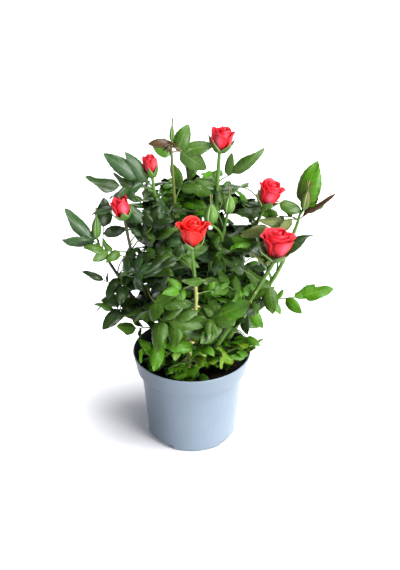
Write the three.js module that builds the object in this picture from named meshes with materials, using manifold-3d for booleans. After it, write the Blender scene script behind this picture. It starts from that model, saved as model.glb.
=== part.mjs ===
// A miniature rose bush growing in its plastic nursery pot, in millimetres.
// +Z is up, the origin is the middle of the pot's flat underside, and -Y is the side that the blooms face.
import * as THREE from "three";
import { mergeVertices } from "three/addons/utils/BufferGeometryUtils.js";
import Module from "manifold-3d";

const wasm = await Module();
wasm.setup();

// Driving dimensions, in millimetres and radians
const GAP = 0.6; // air left between neighbouring solids
const FACET_MERGE = 0.3; // facets that turn by less than this are joined after a cut
const POT_HEIGHT = 84;
const POT_RIM_RADIUS = 52.5;
const POT_WALL = 1.3;
const BAND_HEIGHT = 17.5; // the plain upright band under the rim
const BAND_FOOT = POT_HEIGHT - BAND_HEIGHT;
const BAND_FOOT_RADIUS = 49;
const BODY_TOP_RADIUS = 45;
const BODY_FOOT_RADIUS = 39.4;
const FOOT_RADIUS = 37.8; // after the small rounding at the very bottom
const FOOT_ROUNDING = 2.2;
const ARCH_HEIGHT = 2.4; // how far the arches in the foot stand clear of the ground
const FLOOR_TOP = 4.8; // the upper side of the pot's floor, above the arches
const SOIL_LEVEL = 72;
const POT_SIDES = 32;
const FOOT_ARCHES = 3;
const ARCH_INNER_RADIUS = 30; // the middle of the foot stays flat inside this
const ARCH_SPREAD = THREE.MathUtils.degToRad(56);
const ARCH_FIRST = THREE.MathUtils.degToRad(218);
const DRAIN_HOLES = 6;
const DRAIN_RADIUS = 3.5;
const DRAIN_CIRCLE = 22;
const DRAIN_SIDES = 6;
const LIP_ROUNDING = 0.4;
const CANE_SIDES = 6;
const CUTTER_SIDES = 4; // of the square passage that foliage leaves round a cane
const CANE_RINGS = 8;

const COLOURS = {
  pot: { color: 0xa9b9d3, roughness: 0.45, metalness: 0 },
  soil: { color: 0x231a15, roughness: 1, metalness: 0 },
  cane: { color: 0x5d7a33, roughness: 0.6, metalness: 0 },
  leaf: { color: 0x2f6b33, roughness: 0.5, metalness: 0 },
  youngLeaf: { color: 0x5b9a35, roughness: 0.5, metalness: 0 },
  petal: { color: 0xe8262f, roughness: 0.6, metalness: 0 },
  bud: { color: 0x7fa343, roughness: 0.5, metalness: 0 },
};
const materials = Object.fromEntries(
  Object.entries(COLOURS).map(([name, look]) => [name, new THREE.MeshStandardMaterial(look)]),
);

const vector = (p) => new THREE.Vector3(...p);

// A closed geometry as a manifold-3d solid, and back again.
function solidOf(geometry) {
  const bare = geometry.clone();
  bare.deleteAttribute("normal");
  bare.deleteAttribute("uv");
  const merged = mergeVertices(bare, 1e-3);
  return new wasm.Manifold(
    new wasm.Mesh({
      numProp: 3,
      vertProperties: merged.attributes.position.array,
      triVerts: new Uint32Array(merged.index.array),
    }),
  );
}

function geometryOf(solid) {
  const mesh = solid.getMesh();
  const positions = new THREE.BufferAttribute(mesh.vertProperties, 3);
  const geometry = new THREE.BufferGeometry()
    .setAttribute("position", positions)
    .setIndex(new THREE.BufferAttribute(mesh.triVerts, 1))
    .toNonIndexed();
  geometry.computeVertexNormals();
  return geometry;
}

// Each solid made so far, a little fatter than it is, with its box: later solids are cut by these.
const claimed = [];

function claim(fatGeometry) {
  const solid = solidOf(fatGeometry);
  fatGeometry.computeBoundingBox();
  claimed.push({ solid, box: fatGeometry.boundingBox });
}

// What is left of a geometry once the solids around it are cut away: its largest piece.
function cutByNeighbours(geometry) {
  geometry.computeBoundingBox();
  let left = solidOf(geometry);
  for (const neighbour of claimed) {
    if (!neighbour.box.intersectsBox(geometry.boundingBox)) continue;
    left = left.subtract(neighbour.solid);
  }
  const pieces = left.decompose().sort((a, b) => b.volume() - a.volume());
  return geometryOf(pieces[0].simplify(FACET_MERGE));
}

const bush = new THREE.Group();

function add(name, geometry, look) {
  const mesh = new THREE.Mesh(geometry, materials[look]);
  mesh.name = name;
  bush.add(mesh);
}

// ---- Pot: one moulded shell with a wide band at the rim, arches in the foot and drain holes

// A profile of [radius, height] pairs turned round +Z.
function turned(profile, sides) {
  const points = profile.map(([radius, height]) => new THREE.Vector2(radius, height));
  return new THREE.LatheGeometry(points, sides).rotateX(Math.PI / 2);
}

// A prism over the part of a ring between two radii, centred on a direction, from just under the ground.
function ringBlock(innerRadius, outerRadius, direction, spread, height) {
  const start = direction - spread / 2;
  const end = direction + spread / 2;
  const outline = new THREE.Shape()
    .absarc(0, 0, outerRadius, start, end, false)
    .absarc(0, 0, innerRadius, end, start, true);
  const block = { depth: height + POT_WALL, bevelEnabled: false, curveSegments: 5 };
  return new THREE.ExtrudeGeometry(outline, block).translate(0, 0, -POT_WALL);
}

function potGeometry() {
  const shell = turned(
    [
      [0, 0],
      [FOOT_RADIUS, 0],
      [BODY_FOOT_RADIUS, FOOT_ROUNDING],
      [BODY_TOP_RADIUS, BAND_FOOT - POT_WALL / 2],
      [BAND_FOOT_RADIUS, BAND_FOOT],
      [POT_RIM_RADIUS, POT_HEIGHT - LIP_ROUNDING],
      [POT_RIM_RADIUS - LIP_ROUNDING, POT_HEIGHT],
      [POT_RIM_RADIUS - POT_WALL, POT_HEIGHT],
      [BAND_FOOT_RADIUS - POT_WALL, BAND_FOOT + POT_WALL],
      [BODY_TOP_RADIUS - POT_WALL, BAND_FOOT + POT_WALL / 2],
      [BODY_FOOT_RADIUS - POT_WALL, FLOOR_TOP],
      [0, FLOOR_TOP],
    ],
    POT_SIDES,
  );
  let pot = solidOf(shell);
  for (let i = 0; i < FOOT_ARCHES; i++) {
    const direction = ARCH_FIRST + (i * 2 * Math.PI) / FOOT_ARCHES;
    const arch = ringBlock(ARCH_INNER_RADIUS, POT_RIM_RADIUS, direction, ARCH_SPREAD, ARCH_HEIGHT);
    pot = pot.subtract(solidOf(arch));
  }
  for (let i = 0; i < DRAIN_HOLES; i++) {
    const direction = ARCH_FIRST + (i * 2 * Math.PI) / DRAIN_HOLES;
    const drill = new THREE.CylinderGeometry(DRAIN_RADIUS, DRAIN_RADIUS, 3 * FLOOR_TOP, DRAIN_SIDES);
    drill.rotateX(Math.PI / 2);
    drill.translate(DRAIN_CIRCLE * Math.cos(direction), DRAIN_CIRCLE * Math.sin(direction), 0);
    pot = pot.subtract(solidOf(drill));
  }
  return geometryOf(pot);
}

// ---- Soil: fills the pot to a finger's width under the rim

function soilGeometry() {
  const inset = POT_WALL + GAP;
  const bandSlope = (POT_RIM_RADIUS - BAND_FOOT_RADIUS) / BAND_HEIGHT;
  const bandRadiusAt = (height) => BAND_FOOT_RADIUS + bandSlope * (height - BAND_FOOT) - inset;
  const shoulder = BAND_FOOT + 2 * POT_WALL;
  return turned(
    [
      [0, FLOOR_TOP + GAP],
      [BODY_FOOT_RADIUS - inset, FLOOR_TOP + GAP],
      [BODY_TOP_RADIUS - inset, BAND_FOOT + POT_WALL],
      [bandRadiusAt(shoulder), shoulder],
      [bandRadiusAt(SOIL_LEVEL), SOIL_LEVEL],
      [0, SOIL_LEVEL],
    ],
    POT_SIDES,
  );
}

// ---- Canes: each one tapering limb from the soil to its bloom, bud or tip
// foot and way points are [x, y] and [x, y, z]; thick is the diameter at the soil and at the tip.

const CANES = [
  { name: "cane_far_left", foot: [-15, -3], way: [[-56, -2, 147]], tip: [-79, -6, 192], thick: [4.2, 2.2] },
  {
    name: "cane_left",
    foot: [-12, 5],
    way: [[-24, -3, 107], [-47, -12, 171]],
    tip: [-56, -15, 222.5],
    thick: [4.4, 2.4],
  },
  { name: "cane_upper_left", foot: [-6, 13], way: [[-22, 10, 165]], tip: [-33, 10, 249.5], thick: [4.2, 2.4] },
  { name: "cane_bud_top", foot: [-3, 1], way: [[-12, 6, 172], [-14, 6, 223]], tip: [-17, 5, 285], thick: [4.2, 2.2] },
  { name: "cane_top", foot: [6, 9], way: [[19, 9, 191]], tip: [23.5, 10, 273], thick: [4.6, 3] },
  {
    name: "cane_front",
    foot: [-3, -17],
    way: [[-1, -27, 108], [4, -41, 158]],
    tip: [0.5, -54, 216.5],
    thick: [4.6, 3],
  },
  { name: "cane_centre", foot: [11, -4], way: [[20, -4, 160]], tip: [30.5, -5, 223], thick: [4, 2.2] },
  {
    name: "cane_upper_right",
    foot: [16, 5],
    way: [[33, 2, 145], [47, 0, 189]],
    tip: [61.5, 0, 226.5],
    thick: [4.6, 2.8],
  },
  {
    name: "cane_right",
    foot: [13, -12],
    way: [[27, -17, 108], [49, -28, 150]],
    tip: [69.5, -35, 194],
    thick: [4.8, 3.2],
  },
  {
    name: "cane_far_right",
    foot: [20, -4],
    way: [[44, -8, 122], [73, -7, 165]],
    tip: [91, 0, 214],
    thick: [4.6, 2.8],
  },
  { name: "cane_back_left", foot: [-9, 22], way: [[-18, 38, 128]], tip: [-24, 50, 176], thick: [4.2, 2.6] },
  { name: "cane_back", foot: [2, 23], way: [[6, 44, 130]], tip: [8, 58, 186], thick: [4.2, 2.6] },
  { name: "cane_back_right", foot: [14, 19], way: [[26, 34, 126]], tip: [32, 44, 170], thick: [4.2, 2.6] },
];

// The point of a rising curve at each of several levels, from its own foot to its tip.
function levelPoints(curve, levels) {
  const samples = curve.getPoints(200);
  const low = samples[0].z;
  const high = samples.at(-1).z;
  return Array.from({ length: levels }, (_, i) => {
    const z = low + ((high - low) * i) / (levels - 1);
    const above = Math.max(1, samples.findIndex((p) => p.z >= z - 1e-9));
    const a = samples[above - 1];
    const b = samples[above];
    return a.clone().lerp(b, THREE.MathUtils.clamp((z - a.z) / (b.z - a.z), 0, 1)).setZ(z);
  });
}

// Level rings, one over another: the section of a round limb that leans is drawn out along its lean.
function caneGeometry({ foot, way, tip, thick }, sides, fatter = 0) {
  const start = [...foot, SOIL_LEVEL + GAP - fatter];
  const curve = new THREE.CatmullRomCurve3([start, ...way, tip].map(vector), false, "centripetal");
  const centres = levelPoints(curve, CANE_RINGS);
  centres.at(-1).z += fatter;
  const positions = [];
  centres.forEach((centre, i) => {
    const t = i / (CANE_RINGS - 1);
    const roundRadius = THREE.MathUtils.lerp(thick[0], thick[1], t) / 2 + fatter;
    const radius = fatter > 0 ? roundRadius / Math.cos(Math.PI / sides) : roundRadius;
    const run = centres[Math.min(i + 1, CANE_RINGS - 1)].clone().sub(centres[Math.max(i - 1, 0)]);
    const lean = new THREE.Vector2(run.x, run.y).divideScalar(run.z);
    const slope = lean.length();
    const stretch = Math.hypot(1, slope) - 1;
    for (let side = 0; side < sides; side++) {
      const angle = (2 * Math.PI * side) / sides;
      const spoke = new THREE.Vector2(Math.cos(angle), Math.sin(angle)).multiplyScalar(radius);
      if (slope > 1e-6) {
        const along = lean.clone().divideScalar(slope);
        spoke.addScaledVector(along, stretch * spoke.dot(along));
      }
      positions.push(centre.x + spoke.x, centre.y + spoke.y, centre.z);
    }
  });
  const index = [];
  const at = (ring, side) => ring * sides + (side % sides);
  for (let ring = 0; ring < CANE_RINGS - 1; ring++) {
    for (let side = 0; side < sides; side++) {
      index.push(at(ring, side), at(ring, side + 1), at(ring + 1, side + 1));
      index.push(at(ring, side), at(ring + 1, side + 1), at(ring + 1, side));
    }
  }
  for (let side = 1; side < sides - 1; side++) {
    index.push(at(0, 0), at(0, side + 1), at(0, side));
    index.push(at(CANE_RINGS - 1, 0), at(CANE_RINGS - 1, side), at(CANE_RINGS - 1, side + 1));
  }
  return new THREE.BufferGeometry()
    .setAttribute("position", new THREE.Float32BufferAttribute(positions, 3))
    .setIndex(index);
}

// ---- Blooms and buds: turned solids on the axis from the end of their stalk to their tip

// Profiles of [share of the half width, share of the height], from the axis to the axis.
const BLOOM_PROFILE = [
  [0, 0],
  [0.22, 0],
  [0.64, 0.16],
  [0.86, 0.5],
  [1, 0.86],
  [0.7, 1],
  [0, 0.95],
];
const BUD_PROFILE = [
  [0, 0],
  [0.26, 0],
  [0.3, 0.16],
  [0.8, 0.26],
  [1, 0.42],
  [0.75, 0.62],
  [0.28, 0.82],
  [0, 1],
];

const BLOOMS = [
  { name: "bloom_top", base: [23.8, 10, 273.6], tip: [25.5, 9, 295], wide: 21 },
  { name: "bloom_upper_left", base: [-33.2, 10, 250.2], tip: [-34.5, 9.5, 270], wide: 14 },
  { name: "bloom_left", base: [-56.2, -15, 223.2], tip: [-59, -16, 243], wide: 16 },
  { name: "bloom_centre", base: [0.4, -54.3, 217.2], tip: [1.5, -60, 241], wide: 29 },
  { name: "bloom_upper_right", base: [61.9, 0, 227.2], tip: [66, -1, 249], wide: 25 },
  { name: "bloom_right", base: [69.8, -35.2, 194.7], tip: [71, -40, 217], wide: 32 },
];
const BUDS = [
  { name: "bud_top", base: [-16.8, 5, 285.7], tip: [-14.4, 5, 308], wide: 6 },
  { name: "bud_left", base: [-80.5, -6.5, 200], tip: [-80.5, -5, 232], wide: 8 },
  { name: "bud_middle", base: [17, -11, 216], tip: [15.7, -10, 246], wide: 10 },
  { name: "bud_middle_right", base: [30.7, -5, 223.6], tip: [33.7, -5, 249], wide: 9.5 },
  { name: "bud_right", base: [94, -3, 226], tip: [101.3, -5, 255], wide: 8 },
];

function headGeometry(profile, { base, tip, wide }, sides, fatter = 0) {
  const axis = vector(tip).sub(vector(base));
  const height = axis.length() + 2 * fatter;
  const start = vector(base).addScaledVector(axis.normalize(), -fatter);
  const points = profile.map(([across, up]) => {
    const radius = across === 0 ? 0 : across * (wide / 2) + fatter;
    return new THREE.Vector2(radius, up * height);
  });
  const turn = new THREE.Quaternion().setFromUnitVectors(new THREE.Vector3(0, 1, 0), axis);
  return new THREE.LatheGeometry(points, sides).applyQuaternion(turn).translate(...start.toArray());
}

// ---- Masses of foliage: each an uneven egg from where its leaves leave the cane to its furthest tip
// from and to are the ends, wide and thick the other two sizes, face the way its flat side looks.

const FACE_UP = [0, -0.55, 0.84];
const FACE_FRONT = [0.05, -0.9, 0.42];
const MASSES = [
  // Thin sprays at the edge of the crown, one or two leaves each
  { name: "spray_left_tip", from: [-80, -6, 194], to: [-104, -13, 233], wide: 23, thick: 8, face: FACE_FRONT },
  { name: "spray_left_dark", from: [-68, 12, 196], to: [-75, 17, 228], wide: 18, thick: 8, face: FACE_FRONT },
  { name: "spray_left_mid", from: [-52, -17, 190], to: [-90, -24, 204], wide: 20, thick: 10, face: FACE_UP },
  { name: "spray_left_low", from: [-57, -3, 147], to: [-93, -7, 170], wide: 12, thick: 7, face: FACE_UP },
  { name: "spray_left_lower", from: [-46, -12, 125], to: [-85, -17, 140], wide: 16, thick: 8, face: FACE_UP },
  { name: "spray_left_lowest", from: [-24, -18, 115], to: [-63, -32, 129], wide: 20, thick: 8, face: FACE_UP },
  { name: "spray_upper_left", from: [-39, 5, 244], to: [-72, 0, 276], wide: 22, thick: 9, face: FACE_FRONT },
  { name: "spray_upper_left_side", from: [-52, -2, 238], to: [-88, -8, 259], wide: 15, thick: 8, face: FACE_UP },
  { name: "spray_bud_left", from: [-19, 5, 294], to: [-35, 0, 285], wide: 13, thick: 7, face: FACE_FRONT },
  { name: "spray_top_left", from: [-7, 6, 279], to: [-32, 2, 283], wide: 16, thick: 9, face: FACE_FRONT },
  { name: "spray_top_centre", from: [-10, 8, 282], to: [19, 8, 276], wide: 34, thick: 10, face: FACE_FRONT },
  { name: "spray_top_right", from: [30, 2, 250], to: [60, 0, 279], wide: 18, thick: 8, face: FACE_FRONT },
  { name: "spray_right_big", from: [94, 5, 224], to: [108, 9, 265], wide: 24, thick: 8, face: FACE_FRONT },
  { name: "spray_right_narrow", from: [94, -8, 223], to: [118, -7, 246], wide: 13, thick: 8, face: FACE_UP },
  { name: "spray_right_behind", from: [92, 10, 226], to: [60, 14, 215], wide: 18, thick: 9, face: FACE_FRONT },
  { name: "spray_right_long", from: [88, -13, 225], to: [42, -18, 208], wide: 20, thick: 8, face: FACE_FRONT },
  { name: "spray_right_outer", from: [79, -20, 192], to: [102, -26, 215], wide: 10, thick: 7, face: FACE_UP },
  { name: "spray_right_low", from: [60, -15, 140], to: [121, -27, 163], wide: 20, thick: 8, face: FACE_UP },
  { name: "spray_front_bright", from: [24, -43, 129], to: [51, -48, 161], wide: 23, thick: 9, face: FACE_FRONT },
  // Fuller masses inside the crown and at its back
  { name: "mass_low_front", from: [-24, -32, 81], to: [22, -36, 92], wide: 22, thick: 15, face: FACE_UP },
  { name: "mass_low_left", from: [-10, -10, 86], to: [-42, -20, 96], wide: 30, thick: 16, face: FACE_UP },
  { name: "mass_low_right", from: [24, -24, 82], to: [44, -8, 116], wide: 28, thick: 20, face: FACE_FRONT },
  { name: "mass_left_body", from: [-26, -6, 112], to: [-56, -4, 156], wide: 30, thick: 32, face: FACE_FRONT },
  { name: "mass_left_centre", from: [-22, -16, 156], to: [-52, -18, 206], wide: 36, thick: 38, face: FACE_FRONT },
  { name: "mass_left_upper", from: [-22, 4, 196], to: [-50, 0, 250], wide: 36, thick: 34, face: FACE_FRONT },
  { name: "mass_crown_left", from: [10, 32, 200], to: [-30, 30, 240], wide: 38, thick: 40, face: FACE_FRONT },
  { name: "mass_crown_right", from: [12, 26, 206], to: [34, 28, 250], wide: 36, thick: 40, face: FACE_FRONT },
  { name: "mass_core", from: [2, -26, 104], to: [10, -34, 184], wide: 52, thick: 44, face: FACE_FRONT },
  { name: "mass_centre", from: [0, 2, 166], to: [4, 8, 212], wide: 50, thick: 46, face: FACE_FRONT },
  { name: "mass_right_body", from: [28, -10, 124], to: [54, -8, 174], wide: 36, thick: 36, face: FACE_FRONT },
  { name: "mass_right_upper", from: [28, 6, 176], to: [52, 10, 224], wide: 32, thick: 36, face: FACE_FRONT },
  { name: "mass_back_left", from: [-14, 34, 92], to: [-34, 66, 176], wide: 46, thick: 46, face: [-0.3, 0.95, 0] },
  { name: "mass_back", from: [4, 44, 100], to: [6, 80, 178], wide: 46, thick: 46, face: [0, 1, 0] },
  { name: "mass_back_right", from: [22, 32, 90], to: [44, 60, 178], wide: 44, thick: 44, face: [0.3, 0.95, 0] },
];
const EGG_SHARPNESS = 0.28; // how far a mass narrows towards its tip
const SLIM_THICKNESS = 22; // at and under this, a mass is a spray or a low tuft, with fewer facets
const SLIM_SWELL = 0.06;
const FULL_SWELL = 0.1; // the share by which the surface of a full mass swells and sinks

function unevenness(direction, seed) {
  const { x, y, z } = direction;
  return Math.sin(3.1 * x + seed) * Math.cos(2.7 * y - 2 * seed) + 0.6 * Math.sin(4.3 * z + 3 * seed);
}

function massGeometry({ from, to, wide, thick, face }, seed, fatter = 0) {
  const slim = thick <= SLIM_THICKNESS;
  const along = vector(to).sub(vector(from));
  const half = new THREE.Vector3(along.length(), wide, thick).divideScalar(2).addScalar(fatter);
  const xAxis = along.normalize();
  const zAxis = vector(face).addScaledVector(xAxis, -vector(face).dot(xAxis)).normalize();
  const yAxis = zAxis.clone().cross(xAxis);
  const frame = new THREE.Matrix4().makeBasis(xAxis, yAxis, zAxis);
  frame.setPosition(vector(from).add(vector(to)).divideScalar(2));
  const geometry = new THREE.IcosahedronGeometry(1, slim ? 1 : 2);
  const places = geometry.attributes.position;
  const point = new THREE.Vector3();
  for (let i = 0; i < places.count; i++) {
    point.fromBufferAttribute(places, i);
    const swell = 1 + (slim ? SLIM_SWELL : FULL_SWELL) * unevenness(point, seed);
    const narrow = 1 - EGG_SHARPNESS * point.x;
    point.set(point.x, point.y * swell * narrow, point.z * swell * narrow).multiply(half);
    places.setXYZ(i, point.x, point.y, point.z);
  }
  return geometry.applyMatrix4(frame);
}

// ---- Assembly, in the order in which solids give way to each other

add("pot", potGeometry(), "pot");
add("soil", soilGeometry(), "soil");
for (const cane of CANES) {
  add(cane.name, caneGeometry(cane, CANE_SIDES), "cane");
  claim(caneGeometry(cane, CUTTER_SIDES, GAP));
}
const heads = [
  ...BLOOMS.map((head) => ({ head, profile: BLOOM_PROFILE, sides: 10, look: "petal" })),
  ...BUDS.map((head) => ({ head, profile: BUD_PROFILE, sides: 8, look: "bud" })),
];
for (const { head, profile, sides, look } of heads) {
  add(head.name, cutByNeighbours(headGeometry(profile, head, sides)), look);
  claim(headGeometry(profile, head, sides, GAP));
}
MASSES.forEach((mass, seed) => {
  const look = mass.name.startsWith("mass_low") || mass.name.endsWith("bright") ? "youngLeaf" : "leaf";
  add(mass.name, cutByNeighbours(massGeometry(mass, seed)), look);
  claim(massGeometry(mass, seed, GAP));
});

export default bush;
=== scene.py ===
# A miniature rose bush in its nursery pot: the looks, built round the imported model.
import math
import random

import bmesh
import bpy
import numpy as np
from mathutils import Matrix, Vector
from mathutils.bvhtree import BVHTree


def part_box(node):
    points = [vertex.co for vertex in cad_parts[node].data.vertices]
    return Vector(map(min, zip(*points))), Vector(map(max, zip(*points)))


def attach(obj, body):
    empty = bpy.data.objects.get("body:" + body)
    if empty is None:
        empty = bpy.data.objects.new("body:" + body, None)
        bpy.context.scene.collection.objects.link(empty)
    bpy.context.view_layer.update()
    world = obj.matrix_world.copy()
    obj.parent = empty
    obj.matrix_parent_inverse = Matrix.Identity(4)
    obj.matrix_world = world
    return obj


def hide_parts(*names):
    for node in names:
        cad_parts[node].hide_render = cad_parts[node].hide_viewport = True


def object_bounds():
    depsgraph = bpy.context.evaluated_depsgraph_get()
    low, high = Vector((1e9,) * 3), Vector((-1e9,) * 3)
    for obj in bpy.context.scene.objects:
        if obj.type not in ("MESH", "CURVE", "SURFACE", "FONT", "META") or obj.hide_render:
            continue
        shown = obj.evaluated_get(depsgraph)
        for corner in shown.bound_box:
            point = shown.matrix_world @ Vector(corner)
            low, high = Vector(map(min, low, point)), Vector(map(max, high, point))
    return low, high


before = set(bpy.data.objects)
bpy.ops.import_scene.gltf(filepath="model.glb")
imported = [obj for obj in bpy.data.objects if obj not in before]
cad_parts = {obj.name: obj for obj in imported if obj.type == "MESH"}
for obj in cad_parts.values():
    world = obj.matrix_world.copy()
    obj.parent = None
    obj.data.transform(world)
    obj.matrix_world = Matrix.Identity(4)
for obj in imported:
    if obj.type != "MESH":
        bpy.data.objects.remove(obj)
cad_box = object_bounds()
MM = 0.001


# ---- Pot ------------------------------------------------------------------------------------
# A round nursery pot, injection-moulded in one shot from pale blue-grey polypropylene. It has a
# thin wall, a plain band under a rounded lip, three low arches in its foot and holes to drain.

pot_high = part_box("pot")[1]
RIM_RADIUS = pot_high.x
RIM_HEIGHT = pot_high.z
POT_WALL = 1.3 * MM
BAND_FOOT = RIM_HEIGHT - 17.5 * MM
BAND_FOOT_RADIUS = 49 * MM
BODY_TOP_RADIUS = 45 * MM
BODY_FOOT_RADIUS = 39.4 * MM
ARCH_RISE = 3.4 * MM
ARCH_INNER_RADIUS = 30 * MM
ARCH_CENTRES = [math.radians(218 + 120 * i) for i in range(3)]
ARCH_SPREAD = math.radians(56)
FLOOR_TOP = 4.8 * MM
FOOT_ROUNDING = 1.8 * MM
STEP_HOLLOW = 0.9 * MM
STEP_ROUNDING = 0.7 * MM
DIRECTIONS = 120
HOLES = 6
HOLE_RADIUS = 3.5 * MM
HOLE_CIRCLE_RADIUS = 22 * MM


def colour(hex_code):
    """An sRGB hex colour as a linear RGBA value."""
    parts = [int(hex_code[i : i + 2], 16) / 255 for i in (1, 3, 5)]
    return [p / 12.92 if p <= 0.04045 else ((p + 0.055) / 1.055) ** 2.4 for p in parts] + [1]


def add_node(tree, kind, settings=None, **links):
    """A node with its settings; each link is a socket name and a value or another node's output."""
    node = tree.nodes.new(kind)
    for name, value in (settings or {}).items():
        setattr(node, name, value)
    for name, value in links.items():
        key = int(name[1:]) if name[1:].isdigit() else name.replace("_", " ")
        if isinstance(value, bpy.types.NodeSocket):
            tree.links.new(value, node.inputs[key])
        else:
            node.inputs[key].default_value = value
    return node


def new_material(name, **shader):
    """A material with one Principled shader: constants stay on its own sockets."""
    material = bpy.data.materials.new(name)
    material.use_nodes = True
    for key, value in shader.items():
        material.node_tree.nodes["Principled BSDF"].inputs[key.replace("_", " ")].default_value = value
    return material


def clouds(material, size_mm, stretch=(1, 1, 1), detail=2.0):
    """Shares from noise on Object coordinates, its grains about size_mm across times the stretch."""
    tree = material.node_tree
    place = add_node(tree, "ShaderNodeTexCoord").outputs["Object"]
    grain = [1 / (size_mm * MM * s) for s in stretch]
    scaled = add_node(tree, "ShaderNodeMapping", Vector=place, Scale=grain).outputs[0]
    return add_node(tree, "ShaderNodeTexNoise", Vector=scaled, Scale=1.0, Detail=detail).outputs["Fac"]


def coloured(material, base, *layers, relief=None):
    """Colours the material: each layer is a share and the colour it lays over the ones before.
    Its relief is a height, a depth in millimetres and a strength."""
    tree = material.node_tree
    shader = tree.nodes["Principled BSDF"]
    tint = colour(base)
    for share, over in layers:
        mix = add_node(tree, "ShaderNodeMix", {"data_type": "RGBA"}, Factor=share, i6=tint, i7=colour(over))
        tint = mix.outputs[2]
    tree.links.new(tint, shader.inputs["Base Color"])
    if relief:
        height, depth_mm, strength = relief
        bump = add_node(tree, "ShaderNodeBump", Height=height, Distance=depth_mm * MM, Strength=strength)
        tree.links.new(bump.outputs[0], shader.inputs["Normal"])


def in_scene(name, data):
    """An object at the scene's origin for this mesh, camera or light."""
    thing = bpy.data.objects.new(name, data)
    bpy.context.scene.collection.objects.link(thing)
    return thing


def new_mesh(name, points, faces, edges=()):
    """A mesh from its points and the numbers of the points round each face or edge."""
    mesh = bpy.data.meshes.new(name)
    mesh.from_pydata([tuple(p) for p in points], edges, faces)
    return mesh


def mesh_piece(name, points, faces, material):
    """A smoothly shaded piece with one material."""
    mesh = new_mesh(name, points, faces)
    mesh.materials.append(material)
    mesh.polygons.foreach_set("use_smooth", [True] * len(faces))
    mesh.update()
    return in_scene(name, mesh)


def keep(piece, slot, *nodes):
    """The piece rides on the one body and stands for the nodes. The slot is not used."""
    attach(piece, "root")
    if nodes:
        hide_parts(*nodes)
    return piece


def arc(centre, radius, start, end, steps):
    """Points on an arc in the (radius, height) plane, angles in degrees."""
    turns = [math.radians(start + (end - start) * i / steps) for i in range(steps + 1)]
    return [(centre[0] + radius * math.cos(t), centre[1] + radius * math.sin(t)) for t in turns]


# moulded polypropylene: satin, slightly waxy, with faint upright flow lines and a cloudy tint
plastic = new_material("moulded_polypropylene", Roughness=0.38, IOR=1.49)
flow_lines = clouds(plastic, 1.6, stretch=(1, 1, 60), detail=3.0)
coloured(plastic, "#7d8b98", (clouds(plastic, 22), "#8895a3"), (flow_lines, "#778695"),
         relief=(flow_lines, 0.05, 0.5))

# inside, the same wall is near-black up to the lip, and dull
inner_dark = new_material("near_black_inner_wall", Roughness=0.5, IOR=1.49)
coloured(inner_dark, "#16171b", (clouds(inner_dark, 5, detail=3.0), "#2b2e35"))

# the wall's section as (radius, height), from the foot's middle round the lip to the floor's middle
pot_profile = [(0, 0), (0.5 * ARCH_INNER_RADIUS, 0), (ARCH_INNER_RADIUS, 0)]
pot_profile += [(ARCH_INNER_RADIUS + 0.4 * MM, 0), (BODY_FOOT_RADIUS - 1.6 * MM, 0)]
pot_profile += arc((BODY_FOOT_RADIUS - 1.6 * MM, FOOT_ROUNDING), FOOT_ROUNDING, -80, 0, 4)
for t in (0.05, 0.2, 0.4, 0.6, 0.8, 0.95):
    radius = BODY_FOOT_RADIUS + (BODY_TOP_RADIUS - BODY_FOOT_RADIUS) * t
    pot_profile.append((radius, 3 * MM + (BAND_FOOT - 4 * MM) * t))
pot_profile += arc((BODY_TOP_RADIUS + STEP_HOLLOW, BAND_FOOT - STEP_HOLLOW), STEP_HOLLOW, 180, 100, 3)
pot_profile += arc((BAND_FOOT_RADIUS - STEP_ROUNDING, BAND_FOOT + STEP_ROUNDING), STEP_ROUNDING, -90, -10, 3)
for t in (0.25, 0.6, 0.88):
    radius = BAND_FOOT_RADIUS + (RIM_RADIUS - BAND_FOOT_RADIUS) * t
    pot_profile.append((radius, BAND_FOOT + (RIM_HEIGHT - BAND_FOOT) * t))
pot_profile += arc((RIM_RADIUS - POT_WALL / 2, RIM_HEIGHT - POT_WALL / 2), POT_WALL / 2, 0, 180, 8)
pot_profile += [(BAND_FOOT_RADIUS - POT_WALL + 0.2 * MM, BAND_FOOT + 2 * POT_WALL)]
pot_profile += [(BAND_FOOT_RADIUS - 2 * POT_WALL, BAND_FOOT + POT_WALL)]
pot_profile += [(BODY_TOP_RADIUS - POT_WALL, BAND_FOOT)]
pot_profile += [(BODY_FOOT_RADIUS - POT_WALL, FLOOR_TOP), (0.6 * BODY_FOOT_RADIUS, FLOOR_TOP), (0, FLOOR_TOP)]


def in_arch(angle):
    """True where the foot is cut away at this direction."""
    return any(abs((angle - c + math.pi) % math.tau - math.pi) < ARCH_SPREAD / 2 for c in ARCH_CENTRES)


directions = [math.tau * i / DIRECTIONS for i in range(DIRECTIONS)]
for centre in ARCH_CENTRES:  # an arch's two ends are nearly upright steps
    directions += [centre + s * (ARCH_SPREAD / 2) + e for s in (-1, 1) for e in (-0.004, 0.004)]
directions = sorted({round(a % math.tau, 5) for a in directions})
points, faces = [], []
for angle in directions:
    for radius, height in pot_profile[1:-1]:
        if in_arch(angle) and radius > ARCH_INNER_RADIUS + 0.1 * MM and height < 3 * MM:
            height = ARCH_RISE + 0.2 * height
        points.append((radius * math.cos(angle), radius * math.sin(angle), height))
rows = len(pot_profile) - 2
for i in range(len(directions)):
    j = (i + 1) % len(directions)
    for k in range(rows - 1):
        faces.append((i * rows + k, j * rows + k, j * rows + k + 1, i * rows + k + 1))
points += [(0, 0, 0), (0, 0, FLOOR_TOP)]
for i in range(len(directions)):
    j = (i + 1) % len(directions)
    faces.append((len(points) - 2, j * rows, i * rows))
    faces.append((len(points) - 1, (i + 1) * rows - 1, (j + 1) * rows - 1))
pot = mesh_piece("pot_shell", points, faces, plastic)
drill = bmesh.new()
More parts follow.
